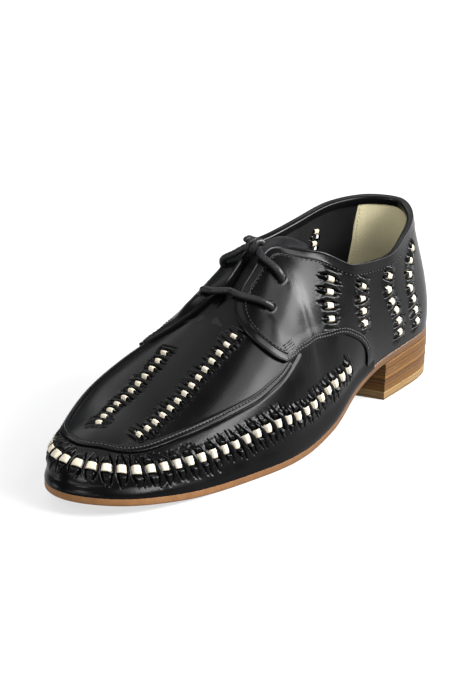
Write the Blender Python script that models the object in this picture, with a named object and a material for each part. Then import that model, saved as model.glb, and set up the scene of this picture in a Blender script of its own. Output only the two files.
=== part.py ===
"""Men's lace-up shoe with a moccasin apron and woven ribbon lines, left foot.

Everything is worked out from one last: a ring of stations round the foot, each with
a rib that rises from the feather line on the sole to the collar, to the facing or to
the ridge of the vamp. Sizes are in millimetres until the mesh is made in metres.
The toe points to -Y, the outer side of the left foot to +X, the floor is Z = 0.
"""
import bpy
import bmesh
import numpy as np

MM = 0.001
SHARP_ANGLE = 0.7       # radians between faces that meet in a hard edge

# Driving sizes, millimetres
LENGTH = 302.0          # datum of the along axis, heel 0 to toe
CENTRE_OUT = 1.0        # middle of the sole's width, taken off every sideways value
HEEL_HEIGHT = 22.0      # floor to the underside of the sole at the seat
SOLE_THICK = 4.8
WELT_FRONT = 2.3        # sole edge beyond the upper round the forepart
WELT_HEEL = 1.2
WALL = 1.4              # leather and lining of the upper
FLAP_STEP = 1.0         # quarter leather lying over the vamp
BAND_STEP = 1.5         # band lying over the quarter behind the flap
BEAD_STEP = 1.4         # raised apron seam
GAP = 0.3               # clearance between pieces that touch
INSOLE_THICK = 2.6
TONGUE_THICK = 1.8
TONGUE_OUT = 1.2        # middle of the tongue's free end
BINDING_WIDE = 4.6
BINDING_THICK = 1.0
RIBBON_WIDE = 5.2
RIBBON_LOW = 0.7
RIBBON_HIGH = 1.7
RIBBON_CLEAR = 0.5
LACE_DIA = 3.0
LACE_CLEAR = 0.5        # lace above the leather it crosses
BAR_POINTS = 15
KNOT_TURNS = 1.45
KNOT_POINTS = 24
KNOT_CLEAR = 1.1        # knot's turns beyond the bar they wind round
BREAST_LAT = 68.0       # heel breast on the outer side
BREAST_SKEW = 13.0      # how much further forward the breast is on the inner side
LIFT_TOPS = (4.7, 10.2, 15.8)
WING_END = 3.67         # station where the band ends on the quarter

# Sections of the last. Columns for each side: along and out of the feather line, lean
# (degrees) and pull of the wall at the sole, pull at the crown, apron seam as a share of
# the rib. Then the crown: along, gap to each side, height on each side (0 = on the
# ridge), lean (degrees).
SECTIONS = (
    # name, lateral: along out lean pull top seam, medial: the same, crown
    ("heel_back", (4, 0, 6, 24, 20, .35), (4, 0, 6, 24, 20, .35), (12.5, 0, 0, 97, 97, 82)),
    ("heel_round", (13, 19.5, 6, 24, 20, .35), (13, -20, 10, 24, 20, .35), (21, 14, -16, 94, 98, 82)),
    ("heel_side", (38, 27.5, 10, 22, 20, .38), (38, -28.5, 12, 22, 20, .38), (42, 25, -27.5, 89, 96.5, 82)),
    ("breast", (70, 31, 12, 20, 18, .42), (68, -28.5, 16, 20, 18, .42), (68, 31, -31, 83.5, 92, 84)),
    ("waist", (100, 35.3, 14, 20, 22, .455), (98, -26, 24, 20, 22, .455), (97, 30.5, -30.5, 86, 90, 78)),
    ("instep", (124, 40.6, 14, 22, 26, .485), (120, -26, 26, 22, 28, .49), (119, 21, -23, 97.5, 95, 60)),
    ("facing_top", (146, 44.2, 13, 22, 32, .475), (142, -29.5, 24, 24, 38, .52),
     (140, 6, -3.5, 101.5, 101, 31)),
    ("facing_mid", (166, 46.2, 12, 22, 34, .53), (164, -36, 18, 28, 38, .60), (160, 6, -3.2, 86.5, 87, 19)),
    ("throat", (187, 46, 10, 22, 36, .455), (188, -42, 13, 32, 38, .66), (176, 0, 0, 0, 0, 0)),
    ("joint", (212, 42.5, 8, 22, 38, .495), (214, -44, 12, 35, 40, .60), (202, 0, 0, 0, 0, 0)),
    ("fore", (240, 38, 6, 20, 38, .535), (241, -40.5, 11, 33, 37, .49), (224, 0, 0, 0, 0, 0)),
    ("toe_side", (268, 30, 4, 16, 34, .54), (268, -33, 9, 24, 29, .52), (242, 0, 0, 0, 0, 0)),
    ("toe_round", (288, 17, 3, 12, 28, .655), (288, -22, 11, 17, 27, .655), (254, 0, 0, 0, 0, 0)),
    ("toe_tip", (297, -3, 3, 11, 25, .72), (297, -3, 3, 11, 25, .72), (259, 0, 0, 0, 0, 0)),
)
THROAT = 8              # station where the two facings meet the vamp
# Ridge of the vamp: along, out, height
RIDGE = ((141, 0, 99), (160, -.5, 86.5), (178, -3, 72.5), (200, -8, 58.8), (220, -11, 48.3),
         (240, -12, 40), (262, -10, 34.5))
# Underside of the sole: along, share of the heel height
UNDERSIDE = ((0, 1.03), (34, 1.02), (70, .96), (100, .74), (134, .21), (162, .02), (178, 0),
             (212, 0), (240, .05), (270, .19), (302, .372))
# Front edge of the quarter flap: share of the rib, station on the outer and inner side
FLAP_EDGE = ((0, 7.45, 7.35), (.54, 7.12, 8.45), (.66, 7.57, 8.55), (.76, 7.76, 8.35), (.84, 7.76, 7.86),
             (.93, 7.61, 7.5), (1, 7.45, 7.35))
# Lines of woven ribbon: name, bars, then station and share of the rib along the line
RIBBONS = (
    ("ribbon_quarter_1_lateral", 4, ((4.82, .865), (5.06, .745), (5.17, .665), (5.25, .56))),
    ("ribbon_quarter_2_lateral", 4, ((3.8, .865), (3.96, .72), (3.95, .6), (3.9, .46))),
    ("ribbon_quarter_3_lateral", 6, ((2.94, .87), (3.05, .72), (2.97, .58), (2.77, .43), (2.62, .26),
                                     (2.53, .1))),
    ("ribbon_quarter_4_lateral", 7, ((1.68, .85), (2, .755), (2.14, .655), (2.17, .53), (2.08, .4),
                                     (1.86, .09))),
    ("ribbon_quarter_1_medial", 4, ((20.95, .8), (20.7, .69), (20.6, .61), (20.55, .52))),
    ("ribbon_quarter_2_medial", 4, ((21.95, .8), (21.8, .66), (21.8, .55), (21.85, .43))),
    ("ribbon_quarter_3_medial", 6, ((22.75, .8), (22.7, .66), (22.8, .53), (22.95, .4), (23.1, .24),
                                    (23.2, .1))),
    ("ribbon_quarter_4_medial", 7, ((23.62, .79), (23.58, .7), (23.55, .6), (23.6, .48), (23.7, .36),
                                    (23.9, .09))),
    ("ribbon_plug_lateral", 14, ((7.98, .815), (8.6, .8), (9.3, .768), (10.1, .735), (11.12, .665))),
    ("ribbon_plug_medial", 11, ((17.1, .945), (16.4, .972), (15.6, .975), (14.9, .96), (13.4, .935))),
    ("ribbon_band", 52, ((4.52, .255), (5.3, .26), (6.2, .24), (7.2, .25), (8.3, .262), (9.2, .25),
                         (10.4, .275), (11.2, .306), (12, .385), (13, .445), (14, .385), (14.8, .306),
                         (15.6, .275), (16.8, .25), (17.7, .262), (18.8, .25), (19.8, .24), (20.7, .26),
                         (21.48, .255))),
)
# Eyelets: station and share of the rib, outer then inner side
EYELETS_TOP = ((6.3, .84), (19.5, .89))
EYELETS_LOW = ((6.88, .806), (18.65, .885))
# Stations where each lace bar crosses the facing edges, outer then inner side
CROSSING_TOP = (6.3, 19.5)
CROSSING_LOW = (7.1, 18.9)
# Middle of each lace bar over the gap: out, minus along, height
UPPER_MIDDLE = (1.3, -148.0, 104.4)
LOWER_MIDDLE = (1.2, -164.0, 90.0)
# Tongue behind the facings: along, height of its middle, half width, fall to its sides
TONGUE_TOP = ((108.5, 97.2, 2.5, .2), (109.5, 97.8, 6, .9), (113, 99.6, 10.5, 3), (119, 102, 12.5, 5.5),
              (127, 103.2, 11.5, 7.5), (134, 101.4, 10.5, 7.4))

RING = 2 * (len(SECTIONS) - 1)


def pchip(x, y, q):
    """Monotone cubic through the points: no overshoot between two rows."""
    x, y, q = np.asarray(x, float), np.asarray(y, float), np.asarray(q, float)
    h = np.diff(x)
    d = np.diff(y) / h
    m = np.concatenate(([d[0]], np.zeros(len(x) - 2), [d[-1]]))
    for i in range(1, len(x) - 1):
        if d[i - 1] * d[i] > 0:
            a, b = 2 * h[i] + h[i - 1], h[i] + 2 * h[i - 1]
            m[i] = (a + b) / (a / d[i - 1] + b / d[i])
    i = np.clip(np.searchsorted(x, q, side="right") - 1, 0, len(x) - 2)
    t = (q - x[i]) / h[i]
    low = y[i] * (1 + 2 * t) * (1 - t) ** 2 + h[i] * m[i] * t * (1 - t) ** 2
    return low + y[i + 1] * t * t * (3 - 2 * t) + h[i] * m[i + 1] * t * t * (t - 1)


def natural(x, y, q):
    """Natural cubic spline through the points."""
    x, y, q = np.asarray(x, float), np.asarray(y, float), np.asarray(q, float)
    n, h = len(x), np.diff(x)
    a, b = np.eye(n), np.zeros(n)
    for i in range(1, n - 1):
        a[i, i - 1:i + 2] = h[i - 1], 2 * (h[i - 1] + h[i]), h[i]
        b[i] = 6 * ((y[i + 1] - y[i]) / h[i] - (y[i] - y[i - 1]) / h[i - 1])
    m = np.linalg.solve(a, b)
    i = np.clip(np.searchsorted(x, q) - 1, 0, n - 2)
    t = (q - x[i]) / h[i]
    r = 1 - t
    return r * y[i] + t * y[i + 1] + ((r ** 3 - r) * m[i] + (t ** 3 - t) * m[i + 1]) * h[i] ** 2 / 6


def periodic(rows, s):
    """Smooth closed spline through the ring of rows, one unit apart."""
    n = len(rows)
    eye = np.eye(n)
    bend = np.linalg.solve(4 * eye + np.roll(eye, 1, 1) + np.roll(eye, -1, 1),
                           6 * (np.roll(rows, -1, 0) - 2 * rows + np.roll(rows, 1, 0)))
    i = np.floor(s).astype(int)
    t = (s - i)[:, None]
    i, j, r = i % n, (i + 1) % n, 1 - t
    return r * rows[i] + t * rows[j] + ((r ** 3 - r) * bend[i] + (t ** 3 - t) * bend[j]) / 6


def column(table, k):
    return [row[k] for row in table]


def ridge_height(along):
    return natural(column(RIDGE, 0), column(RIDGE, 2), along)


def ridge_out(along):
    return pchip(column(RIDGE, 0), column(RIDGE, 1), np.clip(along, 141, 262))


def sole_top(along):
    """Height of the sole's upper face, where the feather line lies."""
    k = np.clip(along, 0, 302)
    return SOLE_THICK + HEEL_HEIGHT * pchip(column(UNDERSIDE, 0), column(UNDERSIDE, 1), k)


def ring_rows():
    """The section table as a closed ring, outer side to the toe and inner side back."""
    outer = [list(lat) + [cr[0], cr[1], cr[3], cr[5]] for _, lat, med, cr in SECTIONS]
    inner = [list(med) + [cr[0], cr[2], cr[4], cr[5]] for _, lat, med, cr in SECTIONS[1:-1]]
    rows = np.array(outer + inner[::-1], float)
    on_ridge = rows[:, 8] == 0
    rows[on_ridge, 8] = ridge_height(rows[on_ridge, 6])
    return rows


ROWS = ring_rows()


def plan_side(s):
    """Level direction square to the feather line, pointing out of the shoe."""
    step = periodic(ROWS[:, :2], s + .02) - periodic(ROWS[:, :2], s - .02)
    side = np.stack((step[:, 0], step[:, 1], np.zeros(len(s))), 1)
    return side / np.linalg.norm(side, axis=1)[:, None]


def ribs(s):
    """Four control points of the rib at each station s of the ring."""
    s = np.mod(np.asarray(s, float), RING)
    along, out, lean, pull, top = periodic(ROWS[:, :5], s).T
    k = np.arange(-2, RING + 3)
    crown_along, gap, height, crown_lean = [pchip(k, ROWS[k % RING, c], s) for c in (6, 7, 8, 9)]
    fold = np.minimum(s, RING - s)
    front = fold >= THROAT
    height = np.where(front, ridge_height(crown_along), height)
    gap = np.where(front, 0, gap)
    foot = np.stack((out, -along, sole_top(along) + GAP), 1)
    crown = np.stack((ridge_out(crown_along) + gap, -crown_along, height), 1)
    side = plan_side(s)
    spoke = foot - crown
    spoke[:, 2] = 0
    share = np.interp(fold, (5, 7), (0, 1))[:, None]
    away = side * (1 - share) + spoke / np.linalg.norm(spoke, axis=1)[:, None] * share
    away /= np.linalg.norm(away, axis=1)[:, None]
    up = np.array((0.0, 0.0, 1.0))
    a, b = np.radians(lean)[:, None], np.radians(crown_lean)[:, None]
    fall = ridge_height(crown_along + .5) - ridge_height(crown_along - .5)
    handle = np.cos(b) * away - np.sin(b) * up
    handle[:, 2] += np.interp(fold, (THROAT - 2, THROAT), (0, 1)) * fall * -away[:, 1]
    wall = foot + pull[:, None] * (np.cos(a) * up + np.sin(a) * side)
    return foot, wall, crown + top[:, None] * handle, crown


def last(s, v):
    """Point of the last at station s and share v of the rib."""
    s, v = np.broadcast_arrays(np.asarray(s, float), np.asarray(v, float))
    p0, p1, p2, p3 = ribs(s.ravel())
    t = v.ravel()[:, None]
    r = 1 - t
    p = r ** 3 * p0 + 3 * r * r * t * p1 + 3 * r * t * t * p2 + t ** 3 * p3
    return p.reshape(s.shape + (3,))


def normal(s, v):
    """Outward normal of the last, taken just short of the crown and the sole."""
    s, v = np.broadcast_arrays(np.asarray(s, float), np.asarray(v, float))
    v = np.clip(v, .02, .96)
    n = np.cross(last(s, v + .01) - last(s, v - .01), last(s + .01, v) - last(s - .01, v))
    return n / np.linalg.norm(n, axis=-1)[..., None]


def seam(s):
    """Share of the rib where the apron seam and the quarter's lower edge run."""
    s = np.asarray(s, float)
    return periodic(ROWS[:, 5:6], np.mod(s.ravel(), RING)).reshape(s.shape)


def flap_edge(s, v):
    """Folded station of the flap's front edge on the side that s lies on."""
    k = column(FLAP_EDGE, 0)
    outer, inner = pchip(k, column(FLAP_EDGE, 1), v), pchip(k, column(FLAP_EDGE, 2), v)
    return np.where(s <= RING / 2, outer, inner)


def smooth(x):
    x = np.clip(x, 0, 1)
    return x * x * (3 - 2 * x)


def layer(s, v):
    """Height of the visible leather over the last: quarter, band, apron or seam."""
    s = np.mod(s, RING)
    fold = np.minimum(s, RING - s)
    line = seam(s)
    above = v > line + .015
    quarter = np.where(above, smooth((flap_edge(s, v) - fold) / .06 + .5), 1.0) * FLAP_STEP
    band = np.interp(fold, (WING_END - .1, WING_END + .1, 7, 9), (FLAP_STEP, BAND_STEP, BAND_STEP, .2))
    height = np.where(above, quarter, band)
    corner = np.where(s <= RING / 2, 7.2, 8.5)
    bead = np.exp(-((v - line) / .012) ** 2) * smooth((fold - corner) / .3)
    return np.maximum(height, BEAD_STEP * bead + height * (1 - bead))


def skin(s, v, lift):
    """Point at a height over the last, measured along the normal."""
    s, v = np.broadcast_arrays(np.asarray(s, float), np.asarray(v, float))
    return last(s, v) + normal(s, v) * np.broadcast_to(lift, s.shape)[..., None]


def material(name, colour, rough):
    m = bpy.data.materials.new(name)
    m.use_nodes = True
    shade = m.node_tree.nodes["Principled BSDF"]
    shade.inputs["Base Color"].default_value = (*colour, 1)
    shade.inputs["Roughness"].default_value = rough
    m.diffuse_color = (*colour, 1)
    return m


def solid(name, points, faces, mat):
    """One closed mesh object in metres, faces turned outward."""
    p = np.asarray(points, float) + np.array((-CENTRE_OUT, LENGTH / 2, 0))
    mesh = bpy.data.meshes.new(name)
    mesh.from_pydata([tuple(q) for q in p * MM], [], faces)
    bm = bmesh.new()
    bm.from_mesh(mesh)
    bmesh.ops.remove_doubles(bm, verts=bm.verts, dist=1e-6)
    bmesh.ops.dissolve_degenerate(bm, edges=bm.edges, dist=1e-6)
    bmesh.ops.triangulate(bm, faces=bm.faces)
    bmesh.ops.recalc_face_normals(bm, faces=bm.faces)
    if bm.calc_volume(signed=True) < 0:
        bmesh.ops.reverse_faces(bm, faces=bm.faces)
    bm.to_mesh(mesh)
    bm.free()
    mesh.shade_smooth()
    mesh.set_sharp_from_angle(angle=SHARP_ANGLE)
    mesh.materials.append(mat)
    obj = bpy.data.objects.new(name, mesh)
    bpy.context.scene.collection.objects.link(obj)
    return obj


def shell(name, over, under, mat, closed=False):
    """Closed body between two grids of points, its rim joined all round."""
    nu, nv = over.shape[:2]
    points = np.concatenate((over.reshape(-1, 3), under.reshape(-1, 3)))
    half = nu * nv
    at = lambda i, j: (i % nu) * nv + j
    faces = []
    for i in range(nu if closed else nu - 1):
        for j in range(nv - 1):
            a, b, c, d = at(i, j), at(i + 1, j), at(i + 1, j + 1), at(i, j + 1)
            faces += [(a, b, c, d), (a + half, d + half, c + half, b + half)]
        for j in (0, nv - 1):
            a, b = at(i, j), at(i + 1, j)
            faces.append((a, b, b + half, a + half))
    if not closed:
        for i in (0, nu - 1):
            for j in range(nv - 1):
                a, b = at(i, j), at(i, j + 1)
                faces.append((a, b, b + half, a + half))
    return solid(name, points, faces, mat)


def crown_stations():
    """Stations of the mesh columns on one side, closer at the flap, the wing and the toe."""
    rear = np.concatenate((np.arange(0, 6, 1 / 3), (5.85, 6.0, 6.2, 6.5, 6.75, 7.0, 7.25)))
    flap = (7.41, 7.48, 7.7, 8.0)
    toe = np.concatenate((np.arange(8.35, 9, .33), np.arange(9, 11, .5), np.arange(11, 13.01, 1 / 3)))
    return np.unique(np.round(np.concatenate((rear, flap, toe)), 3))


def upper_grid():
    """Station and share of the rib at every crossing of the upper's mesh lines."""
    one = crown_stations()
    ring = np.concatenate((one, RING - one[1:-1][::-1]))
    low = np.array((0, .14, .3, .46, .62, .76, .88))
    high = np.array((.14, .3, .46, .62, .77))
    line = seam(ring)[:, None]
    edge = binding_edge(ring)[:, None]
    v = np.concatenate((line * low, line - .028, line, line + .028,
                        line + .028 + (edge - line - .028) * high, edge, np.ones_like(edge)), 1)
    fold = np.minimum(ring, RING - ring)[:, None]
    start = np.where(ring <= RING / 2, 7.45, 7.35)[:, None]
    near = np.maximum(0, 1 - np.abs(fold - start) / 2.0)
    moved = fold + near * (flap_edge(ring[:, None], v) - start)
    return ring, np.where(ring[:, None] <= RING / 2, moved, RING - moved), v


def binding_edge(s):
    """Share of the rib where the binding's lower edge lies."""
    top = periodic(ROWS[:, 4:5], np.mod(s, RING))[:, 0]
    return 1 - BINDING_WIDE / (3 * top)


def build_upper(mat):
    """One hollow wall, open at the collar, between the facings and underneath."""
    ring, s, v = upper_grid()
    over, under = skin(s, v, layer(s, v)), skin(s, v, -WALL)
    n, rows = s.shape
    mirror = (n - np.arange(n)) % n
    front = np.minimum(ring, RING - ring) >= THROAT - 1e-6
    for grid in (over, under):
        grid[front, -1] = (grid[front, -1] + grid[mirror[front], -1]) / 2
        grid[:, 0, 2] = sole_top(-grid[:, 0, 1]) + GAP
    half = n * rows
    top = np.arange(n)
    top[front] = np.minimum(top, mirror)[front]
    at = lambda i, j: (top[i % n] if j == rows - 1 else i % n) * rows + j
    faces = []
    for i in range(n):
        for j in range(rows - 1):
            q = [at(i, j), at(i + 1, j), at(i + 1, j + 1), at(i, j + 1)]
            q = list(dict.fromkeys(q))
            faces += [tuple(q), tuple(k + half for k in reversed(q))]
        a, b = at(i, 0), at(i + 1, 0)
        faces.append((a, a + half, b + half, b))
        if not (front[i] and front[(i + 1) % n]):
            a, b = at(i, rows - 1), at(i + 1, rows - 1)
            faces.append((a, b, b + half, a + half))
    return solid("upper", np.concatenate((over.reshape(-1, 3), under.reshape(-1, 3))), faces, mat)


def build_binding(mat):
    """Rolled strip round the collar and down both facings, outside the quarter."""
    ring, s, v = upper_grid()
    order = np.argsort(np.where(ring > RING / 2, ring - RING, ring))
    order = order[np.minimum(ring, RING - ring)[order] < 7.42]
    s, v = s[order, -2:], v[order, -2:]
    base = skin(s, v, layer(s, v) + GAP + hollow(s, v) / 3)
    side = normal(s, v)
    base = np.stack((base[:, 0], base.mean(1), base[:, 1]), 1)
    side = np.stack((side[:, 0], side.mean(1), side[:, 1]), 1)
    crest = np.array((.6, 1, .8)) * BINDING_THICK
    return shell("binding", base + side * crest[:, None], base, mat)


def build_tongue(mat):
    """Sheet under the facings, arched behind them and rounded at its free end."""
    c = np.array((6.0, 6.5, 7.0, 7.25, 7.48, 7.7, 8.0, 8.35))[:, None]
    share = np.linspace(np.interp(c[:, 0], (6, 7), (.89, .78)), .97, 5, axis=1)
    lift = -(WALL + GAP + .55)
    outer, inner = skin(c, share, lift), skin(RING - c, share[:, ::-1], lift)
    under = np.concatenate((outer, (outer[:, -1:] + inner[:, :1]) / 2, inner), 1)
    along, high, wide, fall = [np.array(column(TONGUE_TOP, k))[:, None] for k in range(4)]
    across = np.linspace(1, -1, under.shape[1])
    arch = np.stack((TONGUE_OUT + wide * across, -along + 0 * across, high - fall * across ** 2), -1)
    sheet = np.concatenate((arch, under))
    n = np.cross(np.gradient(sheet, axis=0), np.gradient(sheet, axis=1))
    n /= np.linalg.norm(n, axis=-1)[..., None]
    n *= np.sign(n[..., 2:3].mean())
    return shell("tongue", sheet, sheet - n * TONGUE_THICK, mat)


def outline(s, beyond):
    """Plan outline of the sole: the feather line moved outward by a margin."""
    return ribs(s)[0][:, :2] + plan_side(s)[:, :2] * np.broadcast_to(beyond, s.shape)[:, None]


def plate_rows(beyond, across):
    """Points over the sole's plan: a row per station pair, outer edge to inner edge."""
    c = np.concatenate((np.arange(0, 2, .25), np.arange(2, 11, .5), np.arange(11, 13.01, .25)))
    c[0], c[-1] = .05, 12.95
    margin = beyond(ribs(c)[0][:, 1])
    a, b = outline(c, margin), outline(RING - c, margin)
    t = np.linspace(0, 1, across)[:, None]
    return a[:, None] * (1 - t) + b[:, None] * t


def welt(y):
    return np.interp(-y, (0, 70, 120, 302), (WELT_HEEL, WELT_HEEL, WELT_FRONT, WELT_FRONT))


def build_outsole(mat):
    """Leather sole with arch, toe spring and a flat tread under the ball."""
    plan = plate_rows(welt, 5)
    height = sole_top(-plan[..., 1])
    over = np.dstack((plan, height))
    return shell("outsole", over, np.dstack((plan, height - SOLE_THICK)), mat)


def build_insole(mat):
    """Sock lying on the sole inside the upper."""
    plan = plate_rows(lambda y: -(WALL + 1.5) + 0 * y, 5)
    height = sole_top(-plan[..., 1]) + GAP
    over = np.dstack((plan, height + INSOLE_THICK))
    return shell("insole", over, np.dstack((plan, height)), mat)


def heel_plan(shrink):
    """Plan of one heel layer: rows from the back to the skewed breast."""
    share = np.array((.015, .08, .17, .26, .35, .45, .55, .7, .85, 1))
    k = np.arange(len(SECTIONS))
    lateral = np.interp(BREAST_LAT, [row[1][0] for row in SECTIONS], k)
    medial = np.interp(BREAST_LAT + BREAST_SKEW, [row[2][0] for row in SECTIONS], k)
    margin = WELT_HEEL - shrink
    a, b = outline(share * lateral, margin), outline(RING - share * medial, margin)
    t = np.linspace(0, 1, 5)[:, None]
    return a[:, None] * (1 - t) + b[:, None] * t


def build_heel(mats):
    """Stacked leather lifts with a top piece on the floor."""
    names = ("heel_top_piece", "heel_lift_1", "heel_lift_2", "heel_lift_3")
    floors = (0.0,) + tuple(t + GAP for t in LIFT_TOPS)
    for k, (name, floor) in enumerate(zip(names, floors)):
        plan = heel_plan(.9 - .3 * k)
        under = np.dstack((plan, np.full(plan.shape[:2], floor)))
        if k < 3:
            top = np.full(plan.shape[:2], LIFT_TOPS[k])
        else:
            top = sole_top(-plan[..., 1]) - SOLE_THICK - GAP
        shell(name, np.dstack((plan, top)), under, mats[min(k, 1)])


def build_ribbons(mat):
    """Raised strips of the woven lines, high at each bar and low at each ribbon square."""
    for name, bars, path in RIBBONS:
        k = np.array(path, float)
        step = np.linalg.norm(np.diff(last(k[:, 0], k[:, 1]), axis=0), axis=1)
        run = np.concatenate(([0], np.cumsum(step)))
        at = np.linspace(0, run[-1], 2 * bars + 1)
        s, v = pchip(run, k[:, 0], at), pchip(run, k[:, 1], at)
        height = np.where(np.arange(len(at)) % 2 == 0, RIBBON_HIGH, RIBBON_LOW)
        across = np.cross(np.gradient(last(s, v), axis=0), normal(s, v))
        across *= RIBBON_WIDE / 2 / np.linalg.norm(across, axis=1)[:, None]
        ds, dv = surface_step(s, v, across)
        half = np.array((-1, 1))
        s, v = s[:, None] + ds[:, None] * half, v[:, None] + dv[:, None] * half
        base = layer(s, v) + RIBBON_CLEAR + hollow(s, v)
        shell(name, skin(s, v, base + height[:, None]), skin(s, v, base), mat)


def hollow(s, v):
    """How far flat faces stand proud of the last where it is hollow along the foot."""
    chord = (last(s - .3, v) + last(s + .3, v)) / 2 - last(s, v)
    return np.maximum(0, (chord * normal(s, v)).sum(-1)) * 1.1


def surface_step(s, v, move):
    """Change of station and share that moves a point of the last by a tangent vector."""
    e = .01
    along_s = (last(s + e, v) - last(s - e, v)) / (2 * e)
    along_v = (last(s, v + e) - last(s, v - e)) / (2 * e)
    dot = lambda a, b: (a * b).sum(1)
    ss, sv, vv = dot(along_s, along_s), dot(along_s, along_v), dot(along_v, along_v)
    ms, mv = dot(move, along_s), dot(move, along_v)
    det = ss * vv - sv * sv
    return (ms * vv - mv * sv) / det, (mv * ss - ms * sv) / det


def cord(name, path, mat):
    """Round cord along a path: a curve with a round bevel and closed ends."""
    curve = bpy.data.curves.new(name, "CURVE")
    curve.dimensions = "3D"
    curve.bevel_depth = LACE_DIA / 2 * MM
    curve.bevel_resolution = 2
    curve.use_fill_caps = True
    points = (path + np.array((-CENTRE_OUT, LENGTH / 2, 0))) * MM
    spline = curve.splines.new("POLY")
    spline.points.add(len(points) - 1)
    spline.points.foreach_set("co", np.c_[points, np.ones(len(points))].ravel())
    curve.materials.append(mat)
    obj = bpy.data.objects.new(name, curve)
    bpy.context.scene.collection.objects.link(obj)
    return obj


def bar_path(pair, crossing, middle):
    """Smooth route from one eyelet over both facing edges to the other eyelet."""
    over = LACE_DIA / 2 + LACE_CLEAR
    ends = [skin(s, v, layer(s, v) + over) for s, v in pair]
    edges = [skin(s, .985, FLAP_STEP + GAP + BINDING_THICK + over) for s in crossing]
    route = np.array((ends[0], edges[0], middle, edges[1], ends[1]))
    run = np.concatenate(([0], np.cumsum(np.linalg.norm(np.diff(route, axis=0), axis=1))))
    at = np.linspace(0, run[-1], BAR_POINTS)
    return np.stack([natural(run, route[:, c], at) for c in range(3)], 1)


def build_laces(mat):
    """Lower bar, upper bar and the knot wound round the middle of the upper one."""
    cord("lace_bar_lower", bar_path(EYELETS_LOW, CROSSING_LOW, np.array(LOWER_MIDDLE)), mat)
    middle = np.array(UPPER_MIDDLE)
    bar = bar_path(EYELETS_TOP, CROSSING_TOP, middle)
    cord("lace_bar_upper", bar, mat)
    near = np.argmin(np.linalg.norm(bar - middle, axis=1))
    axis = bar[near + 1] - bar[near - 1]
    axis /= np.linalg.norm(axis)
    side = np.cross(axis, (0, 0, 1))
    side /= np.linalg.norm(side)
    turn = np.linspace(0, 2 * np.pi * KNOT_TURNS, KNOT_POINTS)[:, None]
    along_bar = (turn / (2 * np.pi) - KNOT_TURNS / 2) * (LACE_DIA + GAP)
    around = np.cos(turn) * side + np.sin(turn) * np.cross(side, axis)
    cord("lace_knot", middle + along_bar * axis + (LACE_DIA + KNOT_CLEAR) * around, mat)


def build():
    for obj in list(bpy.data.objects):
        bpy.data.objects.remove(obj, do_unlink=True)
    black = material("black_leather", (.012, .012, .013), .32)
    lining = material("tongue_leather", (.014, .014, .015), .4)
    edge = material("binding_leather", (.012, .012, .013), .36)
    cream = material("cream_ribbon", (.78, .70, .58), .6)
    sock = material("insole_leather", (.03, .027, .025), .6)
    tan = material("sole_leather", (.36, .17, .08), .45)
    stack = material("stacked_leather", (.34, .17, .08), .5)
    tip = material("top_piece_leather", (.46, .27, .14), .5)
    lace = material("lace_cord", (.012, .012, .012), .6)
    build_outsole(tan)
    build_heel((tip, stack))
    build_insole(sock)
    build_upper(black)
    build_tongue(lining)
    build_binding(edge)
    build_ribbons(cream)
    build_laces(lace)


build()
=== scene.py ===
import bpy
import numpy as np
from mathutils import Matrix, Vector


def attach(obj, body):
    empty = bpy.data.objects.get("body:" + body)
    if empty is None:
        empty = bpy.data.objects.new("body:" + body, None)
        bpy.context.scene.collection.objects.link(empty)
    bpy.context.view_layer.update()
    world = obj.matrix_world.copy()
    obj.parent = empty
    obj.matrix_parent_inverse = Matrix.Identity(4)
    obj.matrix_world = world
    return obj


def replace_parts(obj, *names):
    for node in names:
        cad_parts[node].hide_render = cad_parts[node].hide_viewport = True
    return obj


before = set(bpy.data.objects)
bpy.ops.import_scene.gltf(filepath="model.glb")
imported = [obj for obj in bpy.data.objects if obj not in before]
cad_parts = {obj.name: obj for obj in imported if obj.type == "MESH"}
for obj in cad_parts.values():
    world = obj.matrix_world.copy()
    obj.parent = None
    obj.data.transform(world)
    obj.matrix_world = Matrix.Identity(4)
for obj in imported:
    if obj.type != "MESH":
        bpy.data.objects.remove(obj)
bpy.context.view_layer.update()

scene = bpy.context.scene


# Studio. A lit white table under large soft boxes, a spot that whitens the ground behind,
# and the camera at the photograph's angle. Black leather shows little but what it mirrors,
# so the boxes stand where the photograph has its bright patches.

# Name, bearing and height in degrees, distance, width and height of the box, roll, radiance
SOFT_BOXES = (
    ("side_strip", 28, 33, 1.4, 1.5, .44, -12, 58),
    ("side_low", 64, 17, 1.4, .52, .34, 0, 40),
    ("side_above", 3, 54, 1.4, .7, .46, 0, 17),
    ("sky_left", 150, 49, 1.6, 1.4, .70, 0, 2.2),
    ("sky_left_low", 157, 40, 1.6, .7, .35, 0, 2.4),
    ("front_high", -88, 40, 1.5, .40, .34, 0, 29),
    ("overhead", -150, 72, 1.5, 1.1, .9, 0, 3.2),
    ("front_low", -149, 6, 1.5, .35, .5, 0, 9),
    ("front_strip", -84, 16, 1.5, 1.5, .30, 0, 11),
)
BACKDROP_PLACE = (-.55, 1.0, 1.9)
BACKDROP_TILT = -9.0        # degrees about the X axis
CAMERA_TURN = 38.0          # degrees round the shoe, from its toe to its outer side
CAMERA_RISE = 20.0          # degrees above the table
CAMERA_FAR = 1670.0         # millimetres from the point it looks at
AIM_RIGHT = -9.0            # that point, in the picture's own directions
AIM_UP = 43.5
AIM_BACK = 1.0
FOCAL_PIXELS = 3095.0
PICTURE_PIXELS = 700
SENSOR = 36.0


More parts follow.
